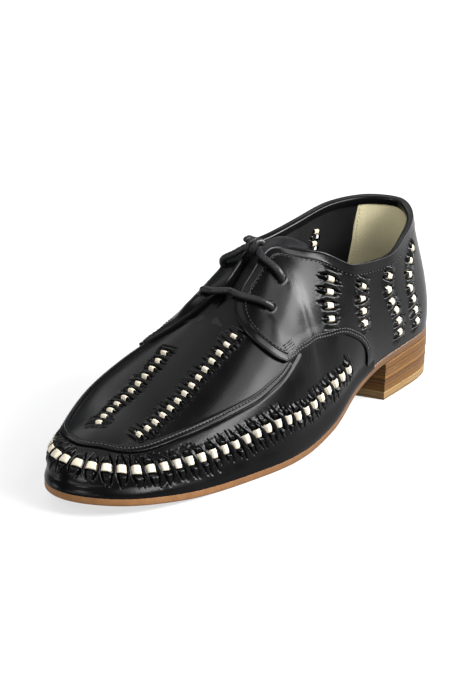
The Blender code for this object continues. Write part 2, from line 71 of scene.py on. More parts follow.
def soft_box(name, bearing, high, far, wide, tall, roll, glow):
    """Area light turned to the shoe: bearing, height and roll in degrees; glow is its radiance."""
    light = bpy.data.lights.new(name, "AREA")
    light.shape = "RECTANGLE"
    light.size, light.size_y, light.energy = wide, tall, glow * wide * tall * np.pi
    lamp = bpy.data.objects.new(name, light)
    b, h = np.radians(bearing), np.radians(high)
    place = Vector((np.cos(b) * np.cos(h), np.sin(b) * np.cos(h), np.sin(h))) * far
    turned = place.to_track_quat("Z", "Y").to_matrix().to_4x4() @ Matrix.Rotation(np.radians(roll), 4, "Z")
    lamp.matrix_world = Matrix.Translation(place) @ turned
    scene.collection.objects.link(lamp)


def new_material(name):
    """Material with nodes: the material itself, its tree and its main shader."""
    m = bpy.data.materials.new(name)
    m.use_nodes = True
    return m, m.node_tree, m.node_tree.nodes["Principled BSDF"]


scene.view_settings.view_transform = "Standard"
world = bpy.data.worlds.new("studio")
world.use_nodes = True
world.node_tree.nodes["Background"].inputs["Color"].default_value = (.9, .95, 1, 1)
world.node_tree.nodes["Background"].inputs["Strength"].default_value = .22
scene.world = world
for box_row in SOFT_BOXES:
    soft_box(*box_row)
backdrop = bpy.data.lights.new("backdrop", "SPOT")
backdrop.energy = 170
backdrop.spot_size = np.radians(52)
backdrop.spot_blend = 1
backdrop.shadow_soft_size = .3
backdrop_lamp = bpy.data.objects.new("backdrop", backdrop)
backdrop_turn = Matrix.Rotation(np.radians(BACKDROP_TILT), 4, "X")
backdrop_lamp.matrix_world = Matrix.Translation(BACKDROP_PLACE) @ backdrop_turn
scene.collection.objects.link(backdrop_lamp)

floor_mesh = bpy.data.meshes.new("floor")
floor_mesh.from_pydata([(-6, -4, 0), (6, -4, 0), (6, 8, 0), (-6, 8, 0)], [], [(0, 1, 2, 3)])
floor_paint, _, floor_shade = new_material("floor_paint")
for floor_socket, floor_value in (("Base Color", (.12, .12, .12, 1)), ("Emission Color", (1, 1, 1, 1)),
                                  ("Emission Strength", .66), ("Roughness", .9), ("Specular IOR Level", .1)):
    floor_shade.inputs[floor_socket].default_value = floor_value
floor_mesh.materials.append(floor_paint)
floor = bpy.data.objects.new("floor", floor_mesh)
scene.collection.objects.link(floor)

turn, rise = np.radians(CAMERA_TURN), np.radians(CAMERA_RISE)
right = np.array((np.cos(turn), np.sin(turn), 0))
upward = np.array((-np.sin(turn) * np.sin(rise), np.cos(turn) * np.sin(rise), np.cos(rise)))
backward = np.cross(right, upward)
eye = (right * AIM_RIGHT + upward * AIM_UP + backward * CAMERA_FAR + np.array((0, AIM_BACK, 0))) * .001
camera_data = bpy.data.cameras.new("camera")
camera_data.sensor_width = SENSOR
camera_data.lens = FOCAL_PIXELS * SENSOR / PICTURE_PIXELS
camera = bpy.data.objects.new("camera", camera_data)
axes = np.eye(4)
axes[:3, 0], axes[:3, 1], axes[:3, 2], axes[:3, 3] = right, upward, backward, eye
camera.matrix_world = Matrix(axes.tolist())
scene.collection.objects.link(camera)
scene.camera = camera


# Outsole. Vegetable-tanned leather cut to the foot's plan, its edge trimmed, rounded
# and waxed a warm tan; it is cemented under the lasted upper, arched at the waist and
# sprung at the toe. The last that the whole shoe is made on is set out here first.

LENGTH = 302.0          # of the last from heel to toe; all sizes are in millimetres
CENTRE_OUT = 1.0        # of the shoe's middle, to the outer side of the last's own line
HEEL_HEIGHT = 22.0
SOLE_THICK = 4.8
GAP = 0.3               # between the lasted upper and the sole
THROAT = 8              # station where the crown closes into a ridge
WELT_HEEL = 1.2         # sole edge beyond the feather line, where upper and sole meet
WELT_FORE = 2.3
EDGE_ROUND = 1.2
EDGE_STEPS = 6          # points round each rounded corner of a plate
TOP_POINTS = 7          # points across its top, and as many underneath
# Name, lateral and medial: along out lean pull top, crown: along gaps heights lean
SECTIONS = (
    ("heel_back", (4, 0, 6, 24, 20), (4, 0, 6, 24, 20), (12.5, 0, 0, 97, 97, 82)),
    ("heel_round", (13, 19.5, 6, 24, 20), (13, -20, 10, 24, 20), (21, 14, -16, 94, 98, 82)),
    ("heel_side", (38, 27.5, 10, 22, 20), (38, -28.5, 12, 22, 20), (42, 25, -27.5, 89, 96.5, 82)),
    ("breast", (70, 31, 12, 20, 18), (68, -28.5, 16, 20, 18), (68, 31, -31, 83.5, 92, 84)),
    ("waist", (100, 35.3, 14, 20, 22), (98, -26, 24, 20, 22), (97, 30.5, -30.5, 86, 90, 78)),
    ("instep", (124, 40.6, 14, 22, 26), (120, -26, 26, 22, 28), (119, 21, -23, 97.5, 95, 60)),
    ("facing_top", (146, 44.2, 13, 22, 32), (142, -29.5, 24, 24, 38), (140, 6, -3.5, 101.5, 101, 31)),
    ("facing_mid", (166, 46.2, 12, 22, 34), (164, -36, 18, 28, 38), (160, 6, -3.2, 86.5, 87, 19)),
    ("throat", (187, 46, 10, 22, 36), (188, -42, 13, 32, 38), (176, 0, 0, 0, 0, 0)),
    ("joint", (212, 42.5, 8, 22, 38), (214, -44, 12, 35, 40), (202, 0, 0, 0, 0, 0)),
    ("fore", (240, 38, 6, 20, 38), (241, -40.5, 11, 33, 37), (224, 0, 0, 0, 0, 0)),
    ("toe_side", (268, 30, 4, 16, 34), (268, -33, 9, 24, 29), (242, 0, 0, 0, 0, 0)),
    ("toe_round", (288, 17, 3, 12, 28), (288, -22, 11, 17, 27), (254, 0, 0, 0, 0, 0)),
    ("toe_tip", (297, -3, 3, 11, 25), (297, -3, 3, 11, 25), (259, 0, 0, 0, 0, 0)),
)
RING = 2 * (len(SECTIONS) - 1)
RIDGE = np.array(((141, 0, 99), (160, -.5, 86.5), (178, -3, 72.5), (200, -8, 58.8), (220, -11, 48.3),
                  (240, -12, 40), (262, -10, 34.5)))
UNDERSIDE = np.array(((0, 1.03), (34, 1.02), (70, .96), (100, .74), (134, .21), (162, .02), (178, 0),
                      (212, 0), (240, .05), (270, .19), (302, .372)))


def pchip(x, y, q):
    """Monotone cubic through the points: slopes are harmonic means of the two sides."""
    x, y, q = np.asarray(x, float), np.asarray(y, float), np.asarray(q, float)
    h = np.diff(x)
    d = np.diff(y) / h
    a, b = 2 * h[1:] + h[:-1], h[1:] + 2 * h[:-1]
    same = d[:-1] * d[1:] > 0
    safe = np.where(same, d[:-1], 1), np.where(same, d[1:], 1)
    inner = np.where(same, (a + b) / (a / safe[0] + b / safe[1]), 0)
    m = np.concatenate(([d[0]], inner, [d[-1]]))
    i = np.clip(np.searchsorted(x, q, side="right") - 1, 0, len(x) - 2)
    t = (q - x[i]) / h[i]
    low = y[i] * (1 + 2 * t) * (1 - t) ** 2 + h[i] * m[i] * t * (1 - t) ** 2
    return low + y[i + 1] * t * t * (3 - 2 * t) + h[i] * m[i + 1] * t * t * (t - 1)


def natural(x, y, q):
    """Natural cubic spline: the bends solve the usual three-term equations."""
    x, y, q = np.asarray(x, float), np.asarray(y, float), np.asarray(q, float)
    n, h = len(x), np.diff(x)
    a = np.eye(n)
    k = np.arange(1, n - 1)
    a[k, k - 1], a[k, k], a[k, k + 1] = h[:-1], 2 * (h[:-1] + h[1:]), h[1:]
    b = np.zeros(n)
    b[1:-1] = 6 * np.diff(np.diff(y) / h)
    m = np.linalg.solve(a, b)
    i = np.clip(np.searchsorted(x, q) - 1, 0, n - 2)
    t = (q - x[i]) / h[i]
    r = 1 - t
    return r * y[i] + t * y[i + 1] + ((r ** 3 - r) * m[i] + (t ** 3 - t) * m[i + 1]) * h[i] ** 2 / 6


def periodic(rows, s):
    """Smooth closed spline through the ring of rows, one unit apart."""
    n = len(rows)
    one = np.eye(n)
    bend = np.linalg.solve(4 * one + np.roll(one, 1, 1) + np.roll(one, -1, 1),
                           6 * (np.roll(rows, -1, 0) - 2 * rows + np.roll(rows, 1, 0)))
    i = np.floor(s).astype(int)
    t = (s - i)[:, None]
    i, j, r = i % n, (i + 1) % n, 1 - t
    return r * rows[i] + t * rows[j] + ((r ** 3 - r) * bend[i] + (t ** 3 - t) * bend[j]) / 6


def ridge_height(along):
    """Height of the crown's ridge at a distance from the heel."""
    return natural(RIDGE[:, 0], RIDGE[:, 2], along)


def sole_top(along):
    """Height of the sole's upper face: thickness plus a share of the heel height."""
    k = np.clip(along, 0, LENGTH)
    return SOLE_THICK + HEEL_HEIGHT * pchip(UNDERSIDE[:, 0], UNDERSIDE[:, 1], k)


outer_rows = [list(lat) + [cr[0], cr[1], cr[3], cr[5]] for _, lat, med, cr in SECTIONS]
inner_rows = [list(med) + [cr[0], cr[2], cr[4], cr[5]] for _, lat, med, cr in SECTIONS[1:-1]]
ROWS = np.array(outer_rows + inner_rows[::-1], float)
on_ridge = ROWS[:, 7] == 0
ROWS[on_ridge, 7] = ridge_height(ROWS[on_ridge, 5])


def unit(v):
    """Directions of length 1: each vector over its own length."""
    return v / np.linalg.norm(v, axis=-1)[..., None]


def plan_side(s):
    """Level direction square to the feather line, pointing out of the shoe."""
    step = periodic(ROWS[:, :2], s + .02) - periodic(ROWS[:, :2], s - .02)
    side = np.stack((step[:, 0], step[:, 1], np.zeros(len(s))), 1)
    return unit(side)


def ribs(s):
    """Four control points of the rib at each station of the ring."""
    s = np.mod(np.asarray(s, float), RING)
    along, out, lean, pull, top = periodic(ROWS[:, :5], s).T
    k = np.arange(-2, RING + 3)
    crown_along, gap, height, crown_lean = [pchip(k, ROWS[k % RING, c], s) for c in (5, 6, 7, 8)]
    fold = np.minimum(s, RING - s)
    front = fold >= THROAT
    height = np.where(front, ridge_height(crown_along), height)
    gap = np.where(front, 0, gap)
    middle = pchip(RIDGE[:, 0], RIDGE[:, 1], np.clip(crown_along, RIDGE[0, 0], RIDGE[-1, 0]))
    foot = np.stack((out, -along, sole_top(along) + GAP), 1)
    crown = np.stack((middle + gap, -crown_along, height), 1)
    side = plan_side(s)
    spoke = foot - crown
    spoke[:, 2] = 0
    share = np.interp(fold, (5, 7), (0, 1))[:, None]
    away = unit(side * (1 - share) + unit(spoke) * share)
    up = np.array((0.0, 0.0, 1.0))
    a, b = np.radians(lean)[:, None], np.radians(crown_lean)[:, None]
    fall = ridge_height(crown_along + .5) - ridge_height(crown_along - .5)
    handle = np.cos(b) * away - np.sin(b) * up
    handle[:, 2] += np.interp(fold, (THROAT - 2, THROAT), (0, 1)) * fall * -away[:, 1]
    wall = foot + pull[:, None] * (np.cos(a) * up + np.sin(a) * side)
    return foot, wall, crown + top[:, None] * handle, crown


def grid_quads(nu, nv, round_v=False):
    """Corners of the quads of a grid, turned so that d/dv x d/du points outward."""
    k = np.arange(nu * nv).reshape(nu, nv)
    if round_v:
        k = np.concatenate((k, k[:, :1]), 1)
    return np.stack((k[:-1, :-1], k[:-1, 1:], k[1:, 1:], k[1:, :-1]), -1).reshape(-1, 4)


def piece(name, slot, points, quads, mat, sharp=None, **marks):
    """Mesh object in metres from points in millimetres; marks are values kept per point.

    Points that fall together are joined, and a quad that loses a corner that way is kept
    as a triangle, so seams and poles close.
    """
    co = (np.asarray(points, float).reshape(-1, 3) + np.array((-CENTRE_OUT, LENGTH / 2, 0))) * .001
    _, first, same = np.unique(np.round(co * 1e7), axis=0, return_index=True, return_inverse=True)
    faces = first[same.ravel()][quads]
    corner = faces != np.roll(faces, 1, 1)
    corner[corner.sum(1) < 3] = False
    used, loops = np.unique(faces[corner], return_inverse=True)
    sides = corner.sum(1)[corner.any(1)]
    mesh = bpy.data.meshes.new(name)
    mesh.vertices.add(len(used))
    mesh.vertices.foreach_set("co", co[used].ravel())
    mesh.loops.add(len(loops))
    mesh.loops.foreach_set("vertex_index", loops.ravel())
    mesh.polygons.add(len(sides))
    mesh.polygons.foreach_set("loop_start", np.cumsum(sides) - sides)
    mesh.update(calc_edges=True)
    for key, value in marks.items():
        mesh.attributes.new(key, "FLOAT", "POINT").data.foreach_set("value", np.ravel(value)[used])
    mesh.shade_smooth()
    if sharp:
        mesh.set_sharp_from_angle(angle=sharp)
    mesh.materials.append(mat)
    obj = bpy.data.objects.new(name, mesh)
    scene.collection.objects.link(obj)
    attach(obj, "root")
    return obj


def end_quads(n, start=0):
    """Strips of quads across a closed loop of n points, from its start to its far side."""
    k, ring = np.arange(n // 2 - 1), (start + np.arange(n)) % n
    return np.stack((ring[k], ring[k + 1], ring[n - 2 - k], ring[n - 1 - k]), 1)


def slab(lateral, medial, margin, top, bottom, radius, capped=False):
    """Plate over the sole's plan: loops round its section, one for each pair of stations.

    Each loop runs over the top, down a rounded outer edge, back underneath and up the
    inner edge. A cap closes the last loop with strips from its top to its bottom.
    """
    bend = np.linspace(0, np.pi / 2, EDGE_STEPS)
    across = np.linspace(0, 1, TOP_POINTS + 2)[1:-1]
    inset = np.concatenate((np.sin(bend), np.sin(bend[::-1]))) - 1
    drop = np.concatenate((1 - np.cos(bend), 1 - np.cos(bend[::-1])))
    low = np.arange(2 * EDGE_STEPS) >= EDGE_STEPS
    level_top = np.zeros(TOP_POINTS)
    edges = []
    for stations in (lateral, medial):
        foot, out = ribs(stations)[0][:, :2], plan_side(stations)[:, :2]
        edges.append(foot[:, None] + out[:, None] * (margin(foot)[:, None] + radius * inset)[..., None])
    edge_a, edge_b = edges
    over = edge_b[:, :1] * (1 - across[:, None]) + edge_a[:, :1] * across[:, None]
    under = edge_a[:, -1:] * (1 - across[:, None]) + edge_b[:, -1:] * across[:, None]
    plan = np.concatenate((over, edge_a, under, edge_b[:, ::-1]), 1)
    is_low = np.concatenate((level_top, low, level_top + 1, low[::-1])) > 0
    dip = radius * np.concatenate((level_top, drop, level_top, drop[::-1]))
    z = np.where(is_low, bottom(plan) + dip, top(plan) - dip)
    loops = np.concatenate((plan, z[..., None]), -1)
    count, around = loops.shape[:2]
    quads = grid_quads(count, around, round_v=True)[:, ::-1]
    if capped:
        cap = end_quads(around, TOP_POINTS + EDGE_STEPS)[:, ::-1]
        quads = np.concatenate((quads, cap + (count - 1) * around))
    return loops, quads


def new_group(name, inputs, outputs):
    """Node group with named sockets; inputs are (name, default) pairs of plain numbers."""
    tree = bpy.data.node_groups.new(name, "ShaderNodeTree")
    for label, value in inputs:
        tree.interface.new_socket(label, in_out="INPUT", socket_type="NodeSocketFloat").default_value = value
    for label in outputs:
        tree.interface.new_socket(label, in_out="OUTPUT", socket_type="NodeSocketFloat")
    return tree, tree.nodes.new("NodeGroupInput"), tree.nodes.new("NodeGroupOutput")


def add(tree, kind, values=(), **fields):
    """New node with its fields set, and its inputs set or linked by name or number."""
    node = tree.nodes.new(kind)
    for key, value in fields.items():
        setattr(node, key, value)
    for key, value in dict(values).items():
        if isinstance(value, bpy.types.NodeSocket):
            tree.links.new(value, node.inputs[key])
        else:
            node.inputs[key].default_value = value
    return node


# Shared leather surface: pebbled cells, pores between them and slow patches of finish.
hide, hide_in, hide_out = new_group("hide_surface", (("Cell", 900.0), ("Patch", 60.0)), ("Height", "Patches"))
place = add(hide, "ShaderNodeTexCoord").outputs["Object"]
cells = add(hide, "ShaderNodeTexVoronoi", {"Vector": place, "Scale": hide_in.outputs["Cell"]})
fine = add(hide, "ShaderNodeTexNoise", {"Vector": place, "Scale": hide_in.outputs["Cell"], "Detail": 4.0})
slow = add(hide, "ShaderNodeTexNoise", {"Vector": place, "Scale": hide_in.outputs["Patch"], "Detail": 3.0})
height = add(hide, "ShaderNodeMath", {0: cells.outputs["Distance"], 1: fine.outputs["Fac"]}, operation="ADD")
hide.links.new(height.outputs[0], hide_out.inputs["Height"])
hide.links.new(slow.outputs["Fac"], hide_out.inputs["Patches"])


def leather(name, dark, light, rough, bump, cell=900.0, patch=60.0, shine=.5, burnish=False):
    """Leather material: colour and roughness vary over slow patches, fine cells as bump.

    A piece may also carry a value per point that multiplies its colour: painted shade.
    """
    m, tree, shade = new_material(name)
    skin_node = add(tree, "ShaderNodeGroup", {"Cell": cell, "Patch": patch}, node_tree=hide)
    patches = skin_node.outputs["Patches"]
    tone = add(tree, "ShaderNodeMix", {"Factor": patches, "A": (*dark, 1), "B": (*light, 1)},
               data_type="RGBA")
    dull = add(tree, "ShaderNodeMapRange", {"Value": patches, "From Min": .3, "From Max": .7,
                                            "To Min": rough[0], "To Max": rough[1]})
    relief = add(tree, "ShaderNodeBump", {"Height": skin_node.outputs["Height"], "Strength": bump,
                                          "Distance": .0003})
    # Painted shade: the colour is multiplied by the value kept on each point.
    if burnish:
        shade_scale = add(tree, "ShaderNodeAttribute", attribute_name="burnish").outputs["Fac"]
        tone = add(tree, "ShaderNodeMix", {"Factor": 1.0, "A": tone.outputs["Result"]}, data_type="RGBA",
                   blend_type="MULTIPLY")
        tree.links.new(shade_scale, tone.inputs["B"])
    tree.links.new(tone.outputs["Result"], shade.inputs["Base Color"])
    tree.links.new(dull.outputs["Result"], shade.inputs["Roughness"])
    tree.links.new(relief.outputs["Normal"], shade.inputs["Normal"])
    shade.inputs["Specular IOR Level"].default_value = shine
    return m


def welt(plan):
    """Sole edge beyond the feather line, narrower at the heel."""
    return np.interp(-plan[..., 1], (0, 70, 120, LENGTH), (WELT_HEEL, WELT_HEEL, WELT_FORE, WELT_FORE))


def off_sole(rise):
    """Face that keeps one distance from the sole's upper face."""
    return lambda plan: sole_top(-plan[..., 1]) + rise


def heel_to_toe(n):
    """Stations of one side, closer together at both ends: a cosine from 0 to half the ring."""
    return RING / 4 - RING / 4 * np.cos(np.linspace(0, np.pi, n))


sole_leather = leather("sole_leather", (.073, .0336, .0125), (.1135, .0537, .0206), (.42, .56), .25,
                       patch=220.0, shine=.1, burnish=True)
sole_stations = heel_to_toe(200)
sole_loops, sole_quads = slab(sole_stations, RING - sole_stations, welt, off_sole(0), off_sole(-SOLE_THICK),
                              EDGE_ROUND)
# Painted shade and light: the sole is darkened towards the heel, where the side lights fall strongest, and
# lightened a little at the toe.
sole_burnish = np.interp(-sole_loops[..., 1], (60, 110, 200, 290), (.42, .5, .8, 1.1))
outsole = piece("outsole_leather", "sole_leather", sole_loops, sole_quads, sole_leather, burnish=sole_burnish)
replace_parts(outsole, "outsole")


# Heel. Three lifts of sole leather and a paler top piece, cemented in a stack, sanded
# flush and waxed, so the layers show as bands with dark glue lines between them; the
# breast at the front is cut straight and a little askew.

BREAST_LAT = 68.0       # from the heel's back to its front face, on the outer side
BREAST_SKEW = 13.0      # farther forward on the inner side
LIFT_ROUND = .25
GLUE_LINE = .05
heel_group, heel_in, heel_out = new_group("stack_bands", (("Bands", 560.0),), ("Band", "Fleck"))
heel_place = add(heel_group, "ShaderNodeTexCoord").outputs["Object"]
heel_drift = add(heel_group, "ShaderNodeTexNoise", {"Vector": heel_place, "Scale": 45.0, "Detail": 2.0})
heel_axis = add(heel_group, "ShaderNodeSeparateXYZ", {"Vector": heel_place})
heel_wave = add(heel_group, "ShaderNodeMath", {0: heel_drift.outputs["Fac"], 1: .0035}, operation="MULTIPLY")
heel_level = add(heel_group, "ShaderNodeMath", {0: heel_axis.outputs["Z"], 1: heel_wave.outputs[0]},
                 operation="ADD")
heel_row = add(heel_group, "ShaderNodeCombineXYZ", {"Z": heel_level.outputs[0]})
heel_band = add(heel_group, "ShaderNodeTexNoise", {"Vector": heel_row.outputs[0],
                                                   "Scale": heel_in.outputs["Bands"], "Detail": 2.0})
heel_stretch = add(heel_group, "ShaderNodeMapping", {"Vector": heel_place, "Scale": (250, 250, 1500)})
heel_fleck = add(heel_group, "ShaderNodeTexNoise", {"Vector": heel_stretch.outputs[0], "Scale": 1.0,
                                                    "Detail": 4.0})
heel_group.links.new(heel_band.outputs["Fac"], heel_out.inputs["Band"])
heel_group.links.new(heel_fleck.outputs["Fac"], heel_out.inputs["Fleck"])


def stacked(name, dark, light):
    """Cut edge of layered leather: bands by height, flecks of fibre along them."""
    m, tree, shade = new_material(name)
    bands = add(tree, "ShaderNodeGroup", node_tree=heel_group)
    spread = add(tree, "ShaderNodeMapRange", {"Value": bands.outputs["Band"], "From Min": .38,
                                              "From Max": .60})
    tone = add(tree, "ShaderNodeMix", {"Factor": spread.outputs["Result"], "A": (*dark, 1),
                                       "B": (*light, 1)}, data_type="RGBA")
    fleck = add(tree, "ShaderNodeMapRange", {"Value": bands.outputs["Fleck"], "To Min": .75, "To Max": 1.2})
    mixed = add(tree, "ShaderNodeMix", {"Factor": 1.0, "A": tone.outputs["Result"]}, data_type="RGBA",
                blend_type="MULTIPLY")
    tree.links.new(fleck.outputs["Result"], mixed.inputs["B"])
    relief = add(tree, "ShaderNodeBump", {"Height": bands.outputs["Fleck"], "Strength": .3,
                                          "Distance": .0003})
    tree.links.new(mixed.outputs["Result"], shade.inputs["Base Color"])
    tree.links.new(relief.outputs["Normal"], shade.inputs["Normal"])
    shade.inputs["Roughness"].default_value = .5
    shade.inputs["Specular IOR Level"].default_value = .08
    return m


stack_leather = stacked("stacked_leather", (.016, .0061, .0013), (.073, .0336, .008))
tip_leather = stacked("top_piece_leather", (.058, .033, .0125), (.112, .07, .028))
station_numbers = np.arange(len(SECTIONS))
# Loops lie close together round the back of the heel, and the last one is its front face
heel_share = np.concatenate((1 - np.cos(np.linspace(0, 1.2, 60)), [1]))
heel_share[:-1] *= .97 / heel_share[-2]
heel_lateral = heel_share * np.interp(BREAST_LAT, [row[1][0] for row in SECTIONS], station_numbers)
heel_medial = RING - heel_share * np.interp(BREAST_LAT + BREAST_SKEW, [row[2][0] for row in SECTIONS],
                                            station_numbers)


def level(height):
    """Flat face at one height, or a margin of one width."""
    return lambda plan: np.full(plan.shape[:-1], height)


# Node, bottom, top face, how far its edge is set in, material, slot
HEEL_LAYERS = (
    ("heel_top_piece", 0.0, level(4.7), .9, tip_leather, "top_piece_leather"),
    ("heel_lift_1", 4.75, level(10.2), .6, stack_leather, "stacked_leather"),
    ("heel_lift_2", 10.25, level(15.8), .3, stack_leather, "stacked_leather"),
    ("heel_lift_3", 15.85, off_sole(-SOLE_THICK - GLUE_LINE), 0.0, stack_leather, "stacked_leather"),
)
for heel_node, heel_low, heel_top, heel_inset, heel_mat, heel_slot in HEEL_LAYERS:
    heel_loops, heel_quads = slab(heel_lateral, heel_medial, level(WELT_HEEL - heel_inset), heel_top,
                                  level(heel_low), LIFT_ROUND, capped=True)
    layer_piece = piece(heel_node + "_leather", heel_slot, heel_loops, heel_quads, heel_mat, sharp=.6)
    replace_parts(layer_piece, heel_node)


# Insole sock. A thin soft leather sheet cemented over the insole board inside the shoe,
# cut just clear of the lining.

sock_leather = leather("insole_leather", (.022, .020, .018), (.034, .031, .028), (.55, .7), .4)
SOCK_INSET = 2.9
SOCK_THICK = 2.6
SOCK_ROUND = .8
sock_stations = heel_to_toe(140)
sock_loops, sock_quads = slab(sock_stations, RING - sock_stations, level(-SOCK_INSET),
                              off_sole(GAP + SOCK_THICK), off_sole(GAP), SOCK_ROUND)
insole = piece("insole_sock", "insole_leather", sock_loops, sock_quads, sock_leather)
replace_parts(insole, "insole")


# Woven lines. Slits are punched across each line and a flat cream ribbon is drawn over
# and under the leather bars between them; the bars stand up where they cross the ribbon
# and the leather beside each open square is pushed out in small puffs.

TOE_REACH = 50.0        # of the toe's larger squares, each way along the band's line
SLIT_DEEP = 1.5
DIP_DEEP = 1.2          # of the leather under an open square
CRUMPLE = .28
# Bars, reach of the slits, half a bar, half the tape, share of the pitch hidden at a bar, path
WOVEN = {
    "quarter_1_lateral": (4, 7.2, 1.6, 2.0, .2, ((4.82, .865), (5.06, .745), (5.17, .665), (5.25, .56))),
    "quarter_2_lateral": (4, 6.8, 1.6, 1.95, .2, ((3.8, .865), (3.96, .72), (3.95, .6), (3.9, .46))),
    "quarter_3_lateral": (6, 6.4, 1.6, 1.65, .2, ((2.94, .87), (3.05, .72), (2.97, .58), (2.77, .43),
                                                   (2.62, .26), (2.53, .1))),
    "quarter_4_lateral": (7, 6.4, 1.6, 1.6, .2, ((1.68, .85), (2, .755), (2.14, .655), (2.17, .53),
                                                  (2.08, .4), (1.86, .09))),
    "quarter_1_medial": (4, 7.2, 1.6, 2.0, .2, ((20.95, .8), (20.7, .69), (20.6, .61), (20.55, .52))),
    "quarter_2_medial": (4, 6.8, 1.6, 1.95, .2, ((21.95, .8), (21.8, .66), (21.8, .55), (21.85, .43))),
    "quarter_3_medial": (6, 6.4, 1.5, 1.9, .17, ((22.75, .8), (22.7, .66), (22.8, .53), (22.95, .4),
                                                 (23.1, .24), (23.2, .1))),
    "quarter_4_medial": (7, 6.4, 1.5, 1.9, .17, ((23.62, .79), (23.58, .7), (23.55, .6), (23.6, .48),
                                                 (23.7, .36), (23.9, .09))),
    "plug_lateral": (14, 6.6, 1.6, 1.6, .28, ((7.98, .815), (8.6, .8), (9.3, .768), (10.1, .735),
                                             (11.12, .665))),
    "plug_medial": (11, 6.2, 1.5, 1.6, .28, ((17.1, .945), (16.4, .972), (15.6, .975), (14.9, .96),
                                             (13.4, .935))),
    "band": (52, 9.0, 1.7, 2.25, .23, ((4.52, .255), (5.3, .26), (6.2, .24), (7.2, .25), (8.3, .262),
                                      (9.2, .25), (10.4, .275), (11.2, .306), (12, .385), (13, .445),
                                      (14, .385), (14.8, .306), (15.6, .275), (16.8, .25), (17.7, .262),
                                      (18.8, .25), (19.8, .24), (20.7, .26), (21.48, .255))),
}


def last(s, v):
    """Point of the last: cubic Bezier rib at station s, at share v of its height."""
    s, v = np.broadcast_arrays(np.asarray(s, float), np.asarray(v, float))
    p0, p1, p2, p3 = ribs(s.ravel())
    t = v.ravel()[:, None]
    r = 1 - t
    p = r ** 3 * p0 + 3 * r * r * t * p1 + 3 * r * t * t * p2 + t ** 3 * p3
    return p.reshape(s.shape + (3,))


def normal(s, v):
    """Outward normal of the last, taken just short of the crown and the sole."""
    s, v = np.broadcast_arrays(np.asarray(s, float), np.asarray(v, float))
    v = np.clip(v, .02, .96)
    n = np.cross(last(s, v + .01) - last(s, v - .01), last(s + .01, v) - last(s - .01, v))
    return unit(n)


def smooth(x):
    """Ease from 0 to 1: 3 x squared less 2 x cubed."""
    x = np.clip(x, 0, 1)
    return x * x * (3 - 2 * x)


def lengths(points):
    """Running length along a row of points, from 0."""
    return np.concatenate(([0], np.cumsum(np.linalg.norm(np.diff(points, axis=0), axis=1))))


def trace(path, step=.5):
    """Line on the last: points, tangents, normals and cross directions at even steps."""
    k = np.array(path, float)
    run = lengths(last(k[:, 0], k[:, 1]))
    at = np.linspace(0, run[-1], max(8, int(run[-1] / step)))
    s, v = pchip(run, k[:, 0], at), pchip(run, k[:, 1], at)
    p, n = last(s, v), normal(s, v)
    t = unit(np.gradient(p, axis=0))
    return {"p": p, "t": t, "n": n, "q": unit(np.cross(t, n)), "run": lengths(p), "s": s, "v": v}


def near(points, line):
    """Place along and across a line, and distance from it, for every point.

    The nearest sample of the line is found first; the offset from it is then resolved
    along the tangent and across it.
    """
    flat = points.reshape(-1, 3)
    out = np.empty((3, len(flat)))
    square = (line["p"] ** 2).sum(1)
    for k in range(0, len(flat), 4000):
        part = flat[k:k + 4000]
        i = (square - 2 * part @ line["p"].T).argmin(1)
        d = part - line["p"][i]
        out[0, k:k + 4000] = line["run"][i] + (d * line["t"][i]).sum(1)
        out[1, k:k + 4000] = (d * line["q"][i]).sum(1)
        out[2, k:k + 4000] = np.linalg.norm(d, axis=1)
    return out.reshape((3,) + points.shape[:-1])


def chance(k, seed):
    """Fixed number between 0 and 1 for each whole number: the fraction of a large sine."""
    return np.mod(np.sin(k * 12.9898 + seed * 78.233) * 43758.5453, 1)


